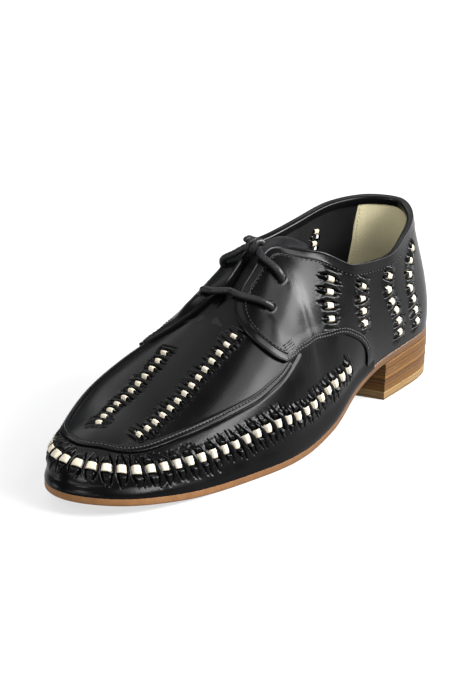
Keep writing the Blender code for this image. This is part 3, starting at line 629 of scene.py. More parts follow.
def weave(points, name, seed, toe_half=None, slant=0.0, gape=0.0):
    """Height of the leather round a woven line, and how far each point is in a slit.

    x runs along the line and y across it. A bar arches over the ribbon at every whole
    pitch and widens away from it, so the tongue of leather between two bars tapers to
    the end of its slits; that tongue dips under the ribbon and swells beside it.
    """
    line = LINES[name]
    bars, reach, bar_half = WOVEN[name][:3]
    x, y, far = near(points, line)
    end = line["run"][-1]
    pitch = end / bars
    toe = np.exp(-((x - end / 2) / TOE_REACH) ** 2) if toe_half else 0.0
    bar_half = bar_half + ((toe_half or bar_half) - bar_half) * toe
    x = x + slant * np.tanh((x - end / 2) / 70) * y
    cell, edge, up = np.floor(x / pitch), np.round(x / pitch), (y > 0)
    from_bar = np.abs(x - (edge + .1 * (chance(edge, seed) - .5)) * pitch)
    size = reach * (.78 + .44 * chance(edge * 2 + up, seed + 1))
    flare = bar_half + (.3 * pitch - bar_half) * smooth((np.abs(y) - .35 * reach) / (.65 * size))
    inside = smooth((x + 2.4) / 1.6) * smooth((end + 2.4 - x) / 1.6) * (far < reach * 2)
    arch = np.cos(np.clip(y / size, -1, 1) * np.pi / 2) ** 1.5
    bar = np.sqrt(np.clip(1 - (from_bar / flare) ** 2, 0, 1)) * arch * (.8 + .45 * chance(edge, seed + 2))
    slit = np.exp(-((from_bar - flare - .25 - gape) / (.3 + gape)) ** 2) * smooth((size - np.abs(y)) / 1.8)
    open_side = smooth((from_bar - flare - .15) / (.13 * pitch))
    swell = .7 + .9 * chance(cell * 3 + up, seed + 5)
    middle = reach * (.44 + .12 * chance(cell * 5 + up, seed + 6))
    puff = swell * np.exp(-((np.abs(y) - middle) / ((.17 + .11 * toe) * reach)) ** 2) * open_side
    dip = -DIP_DEEP * np.exp(-(y / 2.3) ** 2) * open_side
    crumple = np.sin(1.9 * x + 1.1 * y + 2 * np.sin(.7 * y)) * np.sin(1.3 * y - .8 * x + np.sin(.9 * x))
    crumple *= (CRUMPLE - .2 * toe) * smooth((size - np.abs(y)) / 3) * smooth((np.abs(y) - 1.5) / 2)
    within = smooth((x + .2 * pitch) / 1.2) * smooth((end + .2 * pitch - x) / 1.2)
    height = inside * (bar - SLIT_DEEP * slit + crumple) + within * inside * (puff + dip)
    return height, inside * slit * (np.abs(y) > 1.2) * (np.abs(y) < .72 * size)


LINES = {woven_name: trace(woven[5]) for woven_name, woven in WOVEN.items()}


# Lining. Thin black leather backing the quarters, with a pale suede patch round the
# inside of the heel, both pasted to the upper before lasting; it is cut open behind the
# woven lines of the quarters, so daylight comes through their slits.

LINING_UNDER = 1.5      # the last's surface, and less in the row under the binding
LINING_AT_EDGE = .9
LINING_GAPE = 1.1
LINING_OPEN = .35       # share of a slit from which the lining is cut away
lining_leather = leather("lining_leather", (.001, .001, .0011), (.0022, .0022, .0024), (.55, .7), .3,
                         shine=.1)
patch_suede = leather("heel_patch_suede", (.28, .25, .15), (.32, .292, .188), (.8, .95), .6, cell=1600.0,
                      shine=.2)
lining_s = np.linspace(-8.02, 8.02, 560)
lining_v = np.linspace(0, 1, 160)
lining_base = last(lining_s[:, None], lining_v)
lining_normal = normal(lining_s[:, None], lining_v)
lining_points = lining_base - np.where(lining_v < 1, LINING_UNDER, LINING_AT_EDGE)[:, None] * lining_normal
lining_quads = grid_quads(lining_s.size, lining_v.size)[:, ::-1]
lining_slit = np.zeros(lining_base.shape[:2])
for woven_name in LINES:
    if woven_name.startswith("quarter"):
        _, woven_slit = weave(lining_base, woven_name, LINES[woven_name]["run"][-1], gape=LINING_GAPE)
        lining_slit = np.maximum(lining_slit, woven_slit)
lining_shut = (lining_slit < LINING_OPEN).ravel()[lining_quads].any(1)
piece("quarter_lining", "black_leather", lining_points, lining_quads[lining_shut], lining_leather)

PATCH_HALF = 1.5        # stations on each side of the back seam, before its edges are shaped
patch_s = np.linspace(-PATCH_HALF, PATCH_HALF, 121)
patch_v = np.linspace(.02, .985, 81)
patch_reach = np.interp(patch_v, (0, .42, .6, .74, .85, 1), (1.62, 1.47, 1.37, 1.33, 1.28, 1.22)) / PATCH_HALF
patch_grid = patch_s[:, None] * patch_reach
patch_base = last(patch_grid, patch_v)
patch_edge = PATCH_HALF * patch_reach - np.abs(patch_grid)
patch_lift = -1.6 - .45 * smooth(patch_edge / .03) + .25 * np.exp(-((patch_edge - .07) / .015) ** 2)
patch_points = patch_base + patch_lift[..., None] * normal(patch_grid, patch_v)
patch_quads = grid_quads(patch_s.size, patch_v.size)[:, ::-1]
piece("heel_patch", "insole_leather", patch_points, patch_quads, patch_suede)


# Tongue. A tapered flap of black leather sewn under the apron's back edge; it lies
# beneath both facings and its rounded top stands above them.

TONGUE_THICK = 1.8
TONGUE_ROWS = 100
TONGUE_COLUMNS = 60
TONGUE_OUT = 1.2        # of its top's middle, to the outer side
# Rows behind the facings: along, height of the middle, half width, fall to the sides
TONGUE_TOP = np.array(((108.5, 97.2, 2.5, .2), (109.5, 97.8, 6, .9), (113, 99.6, 10.5, 3),
                       (119, 102, 12.5, 5.5), (127, 103.2, 11.5, 7.5), (134, 101.4, 10.5, 7.4)))
tongue_leather = leather("tongue_leather", (.002, .002, .0023), (.0045, .0045, .005), (.36, .48), .25,
                         shine=.08)
tongue_c = np.array((6.0, 6.5, 7.0, 7.25, 7.48, 7.7, 8.0, 8.35))[:, None]
tongue_share = np.linspace(np.interp(tongue_c[:, 0], (6, 7), (.89, .78)), .97, 5, axis=1)
tongue_lift = np.interp(tongue_c, (7.0, 7.3, 7.6, 8.0, 8.35), (-2.25, -1.9, -.7, .55, .55))


def at_height(s, v, lift):
    """Point at a height over the last, measured along the normal."""
    s, v = np.broadcast_arrays(np.asarray(s, float), np.asarray(v, float))
    return last(s, v) + normal(s, v) * np.broadcast_to(lift, s.shape)[..., None]


tongue_outer = at_height(tongue_c, tongue_share, tongue_lift)
tongue_inner = at_height(RING - tongue_c, tongue_share[:, ::-1], tongue_lift)
tongue_middle = (tongue_outer[:, -1:] + tongue_inner[:, :1]) / 2
tongue_across = np.linspace(1, -1, 11)
tongue_along, tongue_high, tongue_wide, tongue_fall = TONGUE_TOP.T[..., None]
tongue_arch = np.stack((TONGUE_OUT + tongue_wide * tongue_across, -tongue_along + 0 * tongue_across,
                        tongue_high - tongue_fall * tongue_across ** 2), -1)
tongue_sheet = np.concatenate((tongue_outer, tongue_middle, tongue_inner), 1)
tongue_sheet = np.concatenate((tongue_arch, tongue_sheet))


def refine(sheet, nu, nv):
    """Finer grid through the points of a coarse one: a monotone cubic each way."""
    u, v = np.linspace(0, len(sheet) - 1, nu), np.linspace(0, sheet.shape[1] - 1, nv)
    k, j = np.arange(len(sheet)), np.arange(sheet.shape[1])
    rows = np.stack([[pchip(k, sheet[:, b, c], u) for b in j] for c in range(3)], -1)
    return np.stack([[pchip(j, rows[:, a, c], v) for a in range(nu)] for c in range(3)], -1)


tongue_fine = refine(tongue_sheet, TONGUE_ROWS, TONGUE_COLUMNS)
tongue_normal = unit(np.cross(np.gradient(tongue_fine, axis=0), np.gradient(tongue_fine, axis=1)))
tongue_normal *= np.sign(tongue_normal[..., 2].mean())
tongue_under = tongue_fine - tongue_normal * TONGUE_THICK
tongue_points = np.concatenate((tongue_fine, tongue_under[:, ::-1]), 1)
tongue_cap = end_quads(2 * TONGUE_COLUMNS)
tongue_quads = np.concatenate((grid_quads(TONGUE_ROWS, 2 * TONGUE_COLUMNS, round_v=True), tongue_cap[:, ::-1],
                               tongue_cap + (TONGUE_ROWS - 1) * 2 * TONGUE_COLUMNS))
tongue = piece("tongue_flap", "tongue_leather", tongue_points, tongue_quads, tongue_leather, sharp=.9)
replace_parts(tongue, "tongue")


# Side band. One strip of black leather lasted round the toe and both sides, from under
# the quarters' wings to under the apron, with the long woven line at half its height.

black_leather = leather("black_leather", (.0007, .0007, .0008), (.0015, .0015, .0016), (.21, .28), .06,
                        shine=.05)
BAND_END = 3.42         # station of its back ends, under the wings
BAND_LIFT = .3
BAND_FOOT = 2.0         # how far the leather swells out over the sole's edge
BAND_TUCK = .7          # how far its foot goes below the sole's upper face
# Station and share of the rib's height along the apron's edge
APRON_EDGE = np.array(((6.6, .52), (7.09, .5), (7.36, .478), (7.86, .446), (8.4, .438), (8.9, .447),
                       (9.4, .462), (9.9, .481), (10.4, .498), (10.95, .503), (11.33, .527), (11.7, .578),
                       (12.2, .652), (12.85, .69), (13.35, .675), (13.9, .63), (14.3, .575), (14.65, .505),
                       (15.1, .445), (15.8, .475), (16.5, .56), (17.1, .625), (17.6, .68), (18, .685),
                       (19.4, .64)))
band_s = np.linspace(BAND_END, RING - BAND_END, 1300)
band_fold = np.minimum(band_s, RING - band_s)
band_under = np.interp(band_fold, (BAND_END, 3.8, 4.4, 5, 6, 6.8), (.30, .42, .5, .53, .53, .55))
band_apron = natural(APRON_EDGE[:, 0], APRON_EDGE[:, 1], np.clip(band_s, 6.6, 19.4)) + .03
band_inner = np.where(band_s > RING / 2, .56, 0) * (band_fold > 5.5)
band_top = np.where(band_fold < 6.8, np.maximum(band_under, band_inner), band_apron)
band_top = np.convolve(np.pad(band_top, 12, mode="edge"), np.ones(25) / 25, "valid")
band_v = band_top[:, None] * np.linspace(0, 1, 72)
band_base = last(band_s[:, None], band_v)
band_relief, _ = weave(band_base, "band", seed=3, toe_half=1.0, slant=.4)
_, _, band_from_apron = near(band_base, trace(APRON_EDGE, .8))
band_lift = BAND_LIFT + BAND_FOOT * (1 - smooth(band_v / .13)) - .6 * np.exp(-(band_from_apron / .9) ** 2)
band_lift += band_relief * smooth(band_v / .05) * smooth((band_top[:, None] - band_v) / .05)
band_points = band_base + band_lift[..., None] * normal(band_s[:, None], band_v)
band_points[:, 0, 2] = sole_top(-band_points[:, 0, 1]) - BAND_TUCK
band = piece("side_band", "black_leather", band_points, grid_quads(*band_v.shape), black_leather)
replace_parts(band, "upper")


# Apron. The moccasin plug on top of the forepart: its edge is turned under, laid over
# the side band and sewn down, so a raised lap runs all round it. Two short woven lines
# run down it towards the toe.

LAP_ROW = 2.4           # of the stitches, in from the edge
LAP_WIDE = 4.2
half_columns = np.concatenate((np.linspace(7.0, 8.0, 60)[:-1], np.linspace(8.0, 13.0, 400)))
apron_s = np.concatenate((half_columns, RING - half_columns[-2::-1]))
apron_low = natural(APRON_EDGE[:, 0], APRON_EDGE[:, 1], apron_s)
apron_t = np.concatenate((np.linspace(0, .1, 14)[:-1], np.linspace(.1, 1, 66)))
apron_v = apron_low[:, None] + (1 - apron_low[:, None]) * apron_t
apron_base = last(apron_s[:, None], apron_v)
apron_path = np.stack((apron_s, apron_low), 1)
_, _, apron_in = near(apron_base, trace(apron_path[::6], .7))
apron_round = np.sqrt(np.clip(1 - (1 - np.clip(apron_in, 0, .4) / .4) ** 2, 0, 1))
apron_inner = (smooth((apron_s - 14.3) / .8) * smooth((18.4 - apron_s) / .6))[:, None]
apron_lift = .7 + (.25 + .8 * apron_inner) * smooth((LAP_WIDE - apron_in) / 1.0)
apron_lift = apron_lift * apron_round - .25 * np.exp(-((apron_in - LAP_ROW) / .3) ** 2)
apron_lift -= .5 * apron_inner * np.exp(-((apron_in - 4.5) / .5) ** 2)
apron_lateral, _ = weave(apron_base, "plug_lateral", seed=11)
apron_medial, _ = weave(apron_base, "plug_medial", seed=17)
apron_clear = smooth((apron_in - 5) / 2)
apron_lift = apron_lift + .8 * (apron_lateral + apron_medial) * apron_clear
apron_points = apron_base + apron_lift[..., None] * normal(apron_s[:, None], apron_v)
ridge_column = np.minimum(apron_s, RING - apron_s) >= THROAT
apron_crown = (apron_points[:, -1] + apron_points[::-1, -1]) / 2
apron_points[ridge_column, -1] = apron_crown[ridge_column]
apron = piece("apron", "black_leather", apron_points, grid_quads(*apron_v.shape), black_leather)
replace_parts(apron, "upper")


# Quarters. The two back panels, sewn together at the heel; each wraps forward over the
# band in a rounded wing and over the apron in a flap that carries two punched eyelets.
# Their leather is drawn a little by the laces, which leaves soft hollows at the eyelets.

# Station and share along the wings' edges; the inner side's stations are folded to the outer's
WING = np.array(((3.67, 0), (3.71, .127), (3.8, .251), (4.06, .379), (4.38, .449), (4.8, .49), (5.2, .502),
                 (5.56, .5), (6.13, .5), (6.61, .522), (7.17, .545)))
WING_MEDIAL = np.array(((3.67, 0), (3.71, .127), (3.8, .251), (4.06, .379), (4.38, .449), (4.8, .49),
                        (5.2, .505), (6, .525), (6.6, .56), (7.2, .6), (7.9, .64), (8.55, .66)))
# Share and station along the flaps' front edges
FLAP = np.array(((.545, 7.17), (.59, 7.45), (.642, 7.62), (.716, 7.77), (.789, 7.83), (.851, 7.78),
                 (.908, 7.66), (.956, 7.46), (.982, 7.22), (1, 7.07)))
FLAP_MEDIAL = np.array(((.66, 8.55), (.70, 8.56), (.76, 8.45), (.82, 8.3), (.872, 8.05), (.906, 7.84),
                        (.936, 7.6), (.981, 7.36), (1, 7.06)))
QUARTER_COLUMNS = 240
QUARTER_ROWS = 205
QUARTER_GAPE = {"lateral": .15, "medial": .95}
QUARTER_OPEN = .55      # share of a slit from which the leather is cut away
EYELET_HALF = 2.0
EYELET_DEEP = 2.2
EYELET_RIM = .35
EYELETS = {"lateral": ((6.3, .84), (6.88, .806)), "medial": ((19.5, .89), (18.65, .885))}
# Hollows and swells: station and share at both ends, half width and height in millimetres
CREASES = {"lateral": ((6.35, .84, 6.85, .80, 5, -.5), (6.5, .82, 6.3, .62, 7, -.2),
                       (6.95, .78, 6.85, .64, 5, -.45), (5.6, .9, 6.1, .7, 9, .35)),
           "medial": ((19.6, .87, 18.4, .84, 9, 2.0), (19.5, .84, 20.0, .65, 6, -.3))}


def through(rows, n, start=0):
    """Curve of n points through rows of values: a monotone cubic in each column."""
    k, fine = np.arange(len(rows)), np.linspace(start, len(rows) - 1, n)
    return np.stack([pchip(k, rows[:, c], fine) for c in range(rows.shape[1])], 1)


def lap(fold):
    """Extra layer of height where the flap lies over the apron, by folded station."""
    return smooth((fold - 6.2) / .8)


def front_raise(fold):
    """Small rise of the flap's front edge, by folded station."""
    return .45 * smooth((fold - 6.6) / .6)


def quarter_grid(wing, flap, columns, rows):
    """Folded station and share over one quarter: columns rise from the feather line and
    the wing's edge to the collar, and the last ones lean into the flap's front edge."""
    rear = np.stack((np.linspace(0, wing[0, 0], 40)[:-1], np.zeros(39)), 1)
    low = np.concatenate((rear, through(wing, 120)))
    run = lengths(last(*low.T))
    at = np.linspace(0, run[-1], columns)
    c0, v0 = np.interp(at, run, low[:, 0]), np.interp(at, run, low[:, 1])
    top = np.linspace(0, flap[-1, 1], 200)
    run = lengths(last(top, 1.0))
    c1 = np.interp(np.linspace(0, run[-1], columns), run, top)
    b = np.linspace(0, 1, rows)
    c = c0[:, None] + (c1 - c0)[:, None] * b
    v = v0[:, None] + (1 - v0)[:, None] * b
    straight = np.interp(v, (flap[0, 0], 1), (flap[0, 1], flap[-1, 1]))
    bulge = pchip(flap[:, 0], flap[:, 1], np.clip(v, flap[0, 0], 1)) - straight
    weight = np.clip((np.linspace(0, 1, columns) - .62) / .38, 0, 1)[:, None]
    return c + weight * bulge * (v > flap[0, 0]), v


def quarter(side, wing, flap):
    """One quarter panel: layers at its edges, woven lines, hollows and eyelets."""
    c, v = quarter_grid(wing, flap, QUARTER_COLUMNS, QUARTER_ROWS)
    s = c if side == "lateral" else RING - c
    base = last(s, v)
    edge = np.concatenate((wing, flap[1:, ::-1]))
    if side == "medial":
        edge[:, 0] = RING - edge[:, 0]
    _, _, inset = near(base, trace(through(edge, 300), .8))
    lift = 1.0 + .2 * smooth((9 - inset) / 6) + lap(c) * smooth((v - .4) / .15)
    lift += front_raise(c) * smooth((14 - inset) / 9)
    lift *= np.sqrt(np.clip(1 - (1 - np.clip(inset, 0, .5) / .5) ** 2, 0, 1))
    lift -= .35 * np.exp(-(c * 22 / .6) ** 2)
    slit = np.zeros(c.shape)
    for name, line in LINES.items():
        if name.startswith("quarter") and name.endswith(side):
            height, cut = weave(base, name, line["run"][-1], gape=QUARTER_GAPE[side])
            lift += height * smooth((inset - 2.5) / 2)
            slit = np.maximum(slit, cut)
    for s0, v0, s1, v1, wide, high in CREASES[side]:
        _, _, far = near(base, trace(((s0, v0), (s1, v1))))
        lift += high * np.exp(-(far / wide) ** 2)
    for eye_s, eye_v in EYELETS[side]:
        far = np.linalg.norm(base - last(eye_s, eye_v), axis=-1)
        rim = EYELET_RIM * np.exp(-((far - EYELET_HALF - .3) / .7) ** 2)
        lift += rim - EYELET_DEEP * smooth((EYELET_HALF - far) / .9)
    points = base + lift[..., None] * normal(s, v)
    flat = v[:, 0] == 0
    points[flat, 0, 2] = sole_top(-points[flat, 0, 1]) - .3
    quads = grid_quads(*c.shape)
    if side == "medial":
        quads = quads[:, ::-1]
    shut = (slit < QUARTER_OPEN).ravel()[quads].any(1)
    return piece("quarter_" + side, "black_leather", points, quads[shut], black_leather)


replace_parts(quarter("lateral", WING, FLAP), "upper")
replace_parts(quarter("medial", WING_MEDIAL, FLAP_MEDIAL), "upper")


# Ribbons. Flat woven cream tape, 3.2 to 4.5 mm wide, threaded through the slits by hand:
# each one swells out at its open squares and dives under the next bar.

ribbon_cloth, ribbon_tree, ribbon_shade = new_material("cream_ribbon")
ribbon_run = add(ribbon_tree, "ShaderNodeAttribute", attribute_name="run").outputs["Fac"]
ribbon_turns = add(ribbon_tree, "ShaderNodeMath", {0: ribbon_run, 1: 2 * np.pi / .55}, operation="MULTIPLY")
ribbon_ribs = add(ribbon_tree, "ShaderNodeMath", {0: ribbon_turns.outputs[0]}, operation="SINE")
ribbon_hide = add(ribbon_tree, "ShaderNodeGroup", {"Cell": 2200.0, "Patch": 180.0}, node_tree=hide)
ribbon_tone = add(ribbon_tree, "ShaderNodeMix", {"Factor": ribbon_hide.outputs["Patches"],
                                                 "A": (.20, .172, .125, 1), "B": (.285, .26, .205, 1)},
                  data_type="RGBA")
ribbon_bump = add(ribbon_tree, "ShaderNodeBump", {"Height": ribbon_ribs.outputs[0], "Strength": .3,
                                                  "Distance": .0001})
ribbon_tree.links.new(ribbon_tone.outputs["Result"], ribbon_shade.inputs["Base Color"])
ribbon_tree.links.new(ribbon_bump.outputs["Normal"], ribbon_shade.inputs["Normal"])
ribbon_shade.inputs["Roughness"].default_value = .65
RIBBON_THICK = .5
RIBBON_SPARE = 1.5      # beyond the first and the last bar
RIBBON_CROWN = .35
RIBBON_STEPS = 14       # from bar to bar
RIBBON_ACROSS = 9       # points across each face


def along_line(at, run, *values):
    """Points or directions at distances along a line, each coordinate interpolated."""
    return [np.stack([np.interp(at, run, value[:, c]) for c in range(3)], 1) for value in values]


def ribbon(name, line, bars, half, cover, under, over, toe):
    """Thin tape along a woven line: its height falls under each bar and swells between,
    and a half sine wave from bar to bar gives each square its belly and its round corners."""
    steps = bars * RIBBON_STEPS
    at = np.linspace(-RIBBON_SPARE, line["run"][-1] + RIBBON_SPARE, steps)
    p, n, q, t = along_line(at, line["run"], *[line[key] for key in "pnqt"])
    p = p + t * (at - np.clip(at, 0, line["run"][-1]))[:, None]
    pitch = line["run"][-1] / bars
    from_bar = np.abs(at - np.round(at / pitch) * pitch)
    hidden = cover * pitch * (1 - toe * np.exp(-((at - line["run"][-1] / 2) / TOE_REACH) ** 2))
    rising = smooth((from_bar - hidden) / (.12 * pitch))
    belly = np.abs(np.sin(np.pi * at / pitch))
    lift = under + (over - under) * rising + .45 * (belly ** 2 - .5)
    wobble = (1 + .14 * (chance(np.floor(at / pitch), bars) - .5)) * (.76 + .26 * belly ** .5)
    across = np.linspace(-1, 1, RIBBON_ACROSS)
    across = np.concatenate((across, across[::-1]))
    around = across.size
    thick = np.where(np.arange(around) < RIBBON_ACROSS, 0, RIBBON_THICK) * np.ones((steps, 1))
    thick[[0, -1]] = 0
    crown = RIBBON_CROWN * (1 - across ** 2) - thick
    points = (p[:, None] + q[:, None] * (half * wobble[:, None] * across)[..., None]
              + n[:, None] * (lift[:, None] + crown)[..., None])
    quads = grid_quads(steps, around, round_v=True)
    return piece(name, "cream_ribbon", points, quads, ribbon_cloth, run=np.repeat(at, around))


# Height of the tape under the bars and between them, and how much narrower toe bars are
RIBBON_FORMS = {"band": (-.45, 1.35, .55), "plug": (.05, 1.55, 0), "quarter": (-2.05, 1.8, 0)}
for ribbon_name, ribbon_line in LINES.items():
    woven = WOVEN[ribbon_name]
    tape = ribbon("tape_" + ribbon_name, ribbon_line, woven[0], woven[3], woven[4],
                  *RIBBON_FORMS[ribbon_name.split("_")[0]])
    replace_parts(tape, "ribbon_" + ribbon_name)


# Binding. A strip of thin leather folded over the raw edge of the quarters, from one
# flap's corner up its front, along the facing, round the collar and down the other
# side, and held by a row of stitches beside its lower edge.

BINDING_COLUMNS = 900
binding_leather = leather("binding_leather", (.0008, .0008, .0009), (.0017, .0017, .0019), (.2, .27), .06,
                          shine=.07)


def flap_path(flap, sign):
    """Station and share along a flap's front edge, from its corner to the facing."""
    return through(flap, 160)[:, ::-1] * (sign, 1)


collar_path = np.stack((np.linspace(7.0, 19 - RING, BINDING_COLUMNS), np.ones(BINDING_COLUMNS)), 1)
edge_path = np.concatenate((flap_path(FLAP, 1), collar_path, flap_path(FLAP_MEDIAL, -1)[::-1]))
edge_run = lengths(last(edge_path[:, 0], edge_path[:, 1]))
edge_at = np.linspace(0, edge_run[-1], BINDING_COLUMNS)
edge_s, edge_v = [np.interp(edge_at, edge_run, edge_path[:, c]) for c in (0, 1)]


def even(values, reach=9):
    """Running mean along the first axis, ends held."""
    pad = np.concatenate((np.repeat(values[:1], reach, 0), values, np.repeat(values[-1:], reach, 0)))
    total = np.cumsum(np.concatenate((np.zeros_like(pad[:1]), pad)), 0)
    return (total[2 * reach + 1:] - total[:-2 * reach - 1]) / (2 * reach + 1)


edge_p = even(last(edge_s, edge_v), 4)
edge_n = unit(even(normal(edge_s, edge_v)))
edge_t = unit(np.gradient(edge_p, axis=0))
edge_in = unit(np.cross(edge_t, edge_n))
edge_fold = np.abs(edge_s)
edge_extra = lap(edge_fold) + front_raise(edge_fold)
# Section of the folded strip: distance in from the edge and height over the last
BINDING = np.array(((4.0, -2.5), (2.0, -2.7), (.4, -2.5), (-.4, -1.8), (-.7, -.8), (-.75, .2), (-.65, 1.05),
                    (-.3, 1.55), (.15, 1.72), (.55, 1.62), (.9, 1.45), (2.2, 1.4), (3.5, 1.42), (3.95, 1.5),
                    (4.3, 1.68), (4.6, 1.62), (4.8, 1.2), (4.85, .4)))
section = through(BINDING, 52)
section_up = section[:, 1] + np.where(section[:, 1] > -1, 1, 0) * edge_extra[:, None]
section_up -= np.clip(section[:, 1] - 1.42, 0, None) * (1 - smooth((edge_fold - 4.4) / .9))[:, None]
binding_points = edge_p[:, None] + edge_in[:, None] * section[:, :1] + edge_n[:, None] * section_up[..., None]
binding_quads = grid_quads(BINDING_COLUMNS, len(section))
binding = piece("binding_strip", "binding_leather", binding_points, binding_quads, binding_leather)
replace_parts(binding, "binding")


# Stitches. Small rounded stitches of waxed black thread along the wings' edges, in a bar
# tack at the outer flap's corner, in the lap of the apron and beside the binding, and of
# tan thread down both sides of the heel patch.

thread = leather("waxed_thread", (.012, .012, .012), (.026, .026, .026), (.4, .5), .2, shine=.2)
dark_thread = leather("dark_thread", (.003, .003, .003), (.005, .005, .005), (.6, .7), .2, shine=.2)
tan_thread = leather("tan_thread", (.30, .26, .15), (.40, .35, .21), (.6, .7), .2)


def seeds(name, slot, mat, rows, long, thick):
    """Joined mesh of small rounded stitches: one ellipsoid grid at every centre of the rows."""
    centre, along, up = [np.concatenate(arrays) for arrays in zip(*rows)]
    a = np.linspace(0, 2 * np.pi, 9)[:-1]
    b = np.linspace(-np.pi / 2, np.pi / 2, 6)
    x = np.sin(b)[:, None] * np.ones(a.size) * long / 2
    y = np.cos(b)[:, None] ** .6 * np.cos(a) * thick / 2
    z = np.cos(b)[:, None] ** .6 * np.sin(a) * thick / 2
    side = np.cross(up, along)
    points = (centre[:, None, None] + x[..., None] * along[:, None, None] + y[..., None] * side[:, None, None]
              + z[..., None] * up[:, None, None])
    one = grid_quads(b.size, a.size, round_v=True)
    quads = (one + x.size * np.arange(len(centre))[:, None, None]).reshape(-1, 4)
    return piece(name, slot, points, quads, mat)


def stitch_row(path, inset, lift, gap):
    """Centres, directions and normals of stitches at even gaps along a line on the last,
    moved sideways by the inset and raised by the lift."""
    line = trace(path, .4)
    at = np.arange(gap / 2, line["run"][-1], gap)
    p, t, n, q = along_line(at, line["run"], *[line[key] for key in "ptnq"])
    height = lift(np.interp(at, line["run"], line["s"]), np.interp(at, line["run"], line["v"]))
    return p + inset * q + n * np.broadcast_to(height, at.shape)[:, None], t, n


def wing_path(wing, sign):
    """The wing's edge from its lower corner to the flap, on the outer or inner side."""
    return through(wing, 120, 2) * (sign, 1)


def wing_height(s, v):
    """Height of the quarter's leather just inside its edge."""
    return 1.25 + lap(np.abs(s)) * smooth((v - .4) / .15) + front_raise(np.abs(s))


def tack_height(s, v):
    """Height of the bar tack, a little over the wing's own stitches."""
    return wing_height(s, v) + .1


def lap_height(s, v):
    """Height of the apron's lap, which is thicker on the inner side."""
    return .8 + .8 * smooth((s - 14.3) / .8)


def patch_height(s, v):
    """Height of the heel patch's face, inside the last."""
    return -2.2 + 0 * s


# Distances of the rows from the edges that they follow
WING_ROWS = (1.5, 3.2)
TACK_ROWS = (4.6, 6.0, 7.4, 8.8)
BINDING_ROW = 5.3
edge_rows = [stitch_row(wing_path(wing_edge, wing_sign), wing_sign * row_in, wing_height, gap=2.1)
             for wing_edge, wing_sign in ((WING, 1), (WING_MEDIAL, -1)) for row_in in WING_ROWS]
seeds("wing_stitches", "black_leather", thread, edge_rows, long=1.4, thick=.7)
tack_path = wing_path(WING, 1)
tack_path = tack_path[(tack_path[:, 0] > 6.62) & (tack_path[:, 0] < 7.1)]
tack_rows = [stitch_row(tack_path, row_in, tack_height, gap=1.5) for row_in in TACK_ROWS]
seeds("bar_tack", "black_leather", thread, tack_rows, long=1.1, thick=.7)
lap_s = np.linspace(7.3, 17.9, 220)
lap_path = np.stack((lap_s, natural(APRON_EDGE[:, 0], APRON_EDGE[:, 1], lap_s)), 1)
lap_row = stitch_row(lap_path, LAP_ROW, lap_height, gap=2.2)
seeds("apron_stitches", "black_leather", thread, [lap_row], long=1.5, thick=.5)
patch_rows = []
for patch_sign in (-1, 1):
    patch_line = np.stack((patch_sign * (PATCH_HALF * patch_reach - .08), patch_v), 1)[2:76:6]
    patch_p, patch_t, patch_n = stitch_row(patch_line, 0, patch_height, gap=2.4)
    patch_rows.append((patch_p, patch_t, -patch_n))
seeds("heel_patch_stitches", "insole_leather", tan_thread, patch_rows, long=1.5, thick=.5)
stitch_at = np.arange(3, edge_run[-1] - 3, 2.6)
stitch_p, stitch_in, stitch_n, stitch_t = along_line(stitch_at, edge_at, edge_p, edge_in, edge_n, edge_t)
stitch_up = 1.35 + np.interp(stitch_at, edge_at, edge_extra)
stitch_p = stitch_p + stitch_in * BINDING_ROW + stitch_n * stitch_up[:, None]
stitch_rows = [(stitch_p, stitch_t, stitch_n)]
seeds("binding_stitches", "binding_leather", dark_thread, stitch_rows, long=1.5, thick=.6)


# Laces. Round waxed black cord, just under 4 mm thick, drawn through the punched eyelets
# in two bars; the upper one is closed with a small tight knot and has no loose ends.

LACE = 3.8
UPPER_MIDDLE = np.array((1.3, -148.0, 104.4))
LOWER_MIDDLE = np.array((.6, -167.3, 84.3))
# Station and share where each bar leaves the outer and the inner facing
UPPER_CROSSINGS = ((6.37, .985), (19.55, .975))
LOWER_CROSSINGS = ((7.36, .969), (18.52, .96))
# Half a bar, from inside its eyelet to the facing's edge: share of the way, height over the
# last, and how much of the slack lifts it
LACE_COURSE = np.array(((0, -3.5, 0), (0, 1.2, 1), (.2, 3.5, 1), (.55, 4.0, .9), (1, 4.6, .4)))
INNER_SLACK = 2.0       # over the swell of the inner flap
KNOT_TURNS = 2.4
KNOT_PITCH = 3.3
KNOT_RADIUS = 3.1
lace_cord = leather("lace_cord", (.0025, .0025, .0028), (.006, .006, .0066), (.36, .46), .2, cell=1500.0,
                    shine=.12)


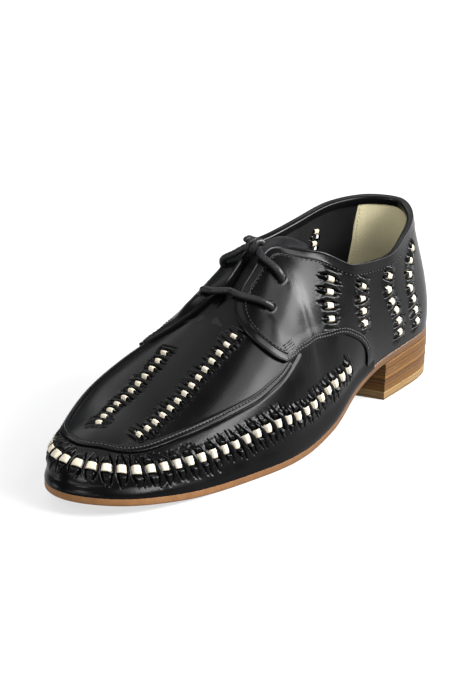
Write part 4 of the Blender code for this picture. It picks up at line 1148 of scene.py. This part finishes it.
def tube(name, route, radius, steps):
    """Round cord along a smooth route, its ends closed."""
    run = lengths(route)
    at = np.linspace(0, run[-1], steps)
    p = np.stack([natural(run, route[:, c], at) for c in range(3)], 1)
    t = unit(np.gradient(p, axis=0))
    side = unit(np.cross(t, np.array((.3, .8, .5))))
    up = np.cross(side, t)
    a = np.linspace(0, 2 * np.pi, 17)[:-1]
    from_end = np.clip(1 - np.minimum(at, run[-1] - at) / radius, 0, 1)
    swell = radius * np.sqrt(np.clip(1 - from_end ** 2, 0, 1))
    swell = swell[:, None] * (1 + .03 * np.cos(3 * a + at[:, None] * 2.4))
    spoke = np.cos(a)[:, None] * side[:, None] + np.sin(a)[:, None] * up[:, None]
    points = p[:, None] + swell[..., None] * spoke
    quads = grid_quads(steps, a.size, round_v=True)[:, ::-1]
    return piece(name, "lace_cord", points, quads, lace_cord), p


def lace_half(eyelet, crossing, slack):
    """From inside the shoe up through an eyelet and along the leather to the facing edge."""
    share, height, loose = LACE_COURSE.T
    s, v = [eyelet[k] + (crossing[k] - eyelet[k]) * share for k in (0, 1)]
    return at_height(s, v, height + slack * loose)


def lace_route(row, lateral, medial, middle):
    """Both halves of a bar, joined over the gap between the facings."""
    outer = lace_half(EYELETS["lateral"][row], lateral, 0.0)
    inner = lace_half(EYELETS["medial"][row], medial, INNER_SLACK)
    return np.concatenate((outer, middle[None], inner[::-1]))


lower_route = lace_route(1, *LOWER_CROSSINGS, LOWER_MIDDLE)
lower_bar, _ = tube("lace_lower", lower_route, LACE / 2, steps=160)
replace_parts(lower_bar, "lace_bar_lower")
upper_route = lace_route(0, *UPPER_CROSSINGS, UPPER_MIDDLE)
upper_bar, upper_line = tube("lace_upper", upper_route, LACE / 2, steps=160)
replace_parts(upper_bar, "lace_bar_upper")
knot_near = np.argmin(np.linalg.norm(upper_line - UPPER_MIDDLE, axis=1))
knot_axis = unit(upper_line[knot_near + 2] - upper_line[knot_near - 2])
knot_side = unit(np.cross(knot_axis, (0, 0, 1)))
knot_up = np.cross(knot_side, knot_axis)
knot_turn = np.linspace(0, 2 * np.pi * KNOT_TURNS, 70)[:, None]
knot_route = (UPPER_MIDDLE + (knot_turn / (2 * np.pi) - KNOT_TURNS / 2) * KNOT_PITCH * knot_axis
              + KNOT_RADIUS * (np.cos(knot_turn) * knot_side + np.sin(knot_turn) * knot_up))
knot, knot_line = tube("lace_tied", knot_route, LACE / 2, steps=200)
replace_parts(knot, "lace_knot")
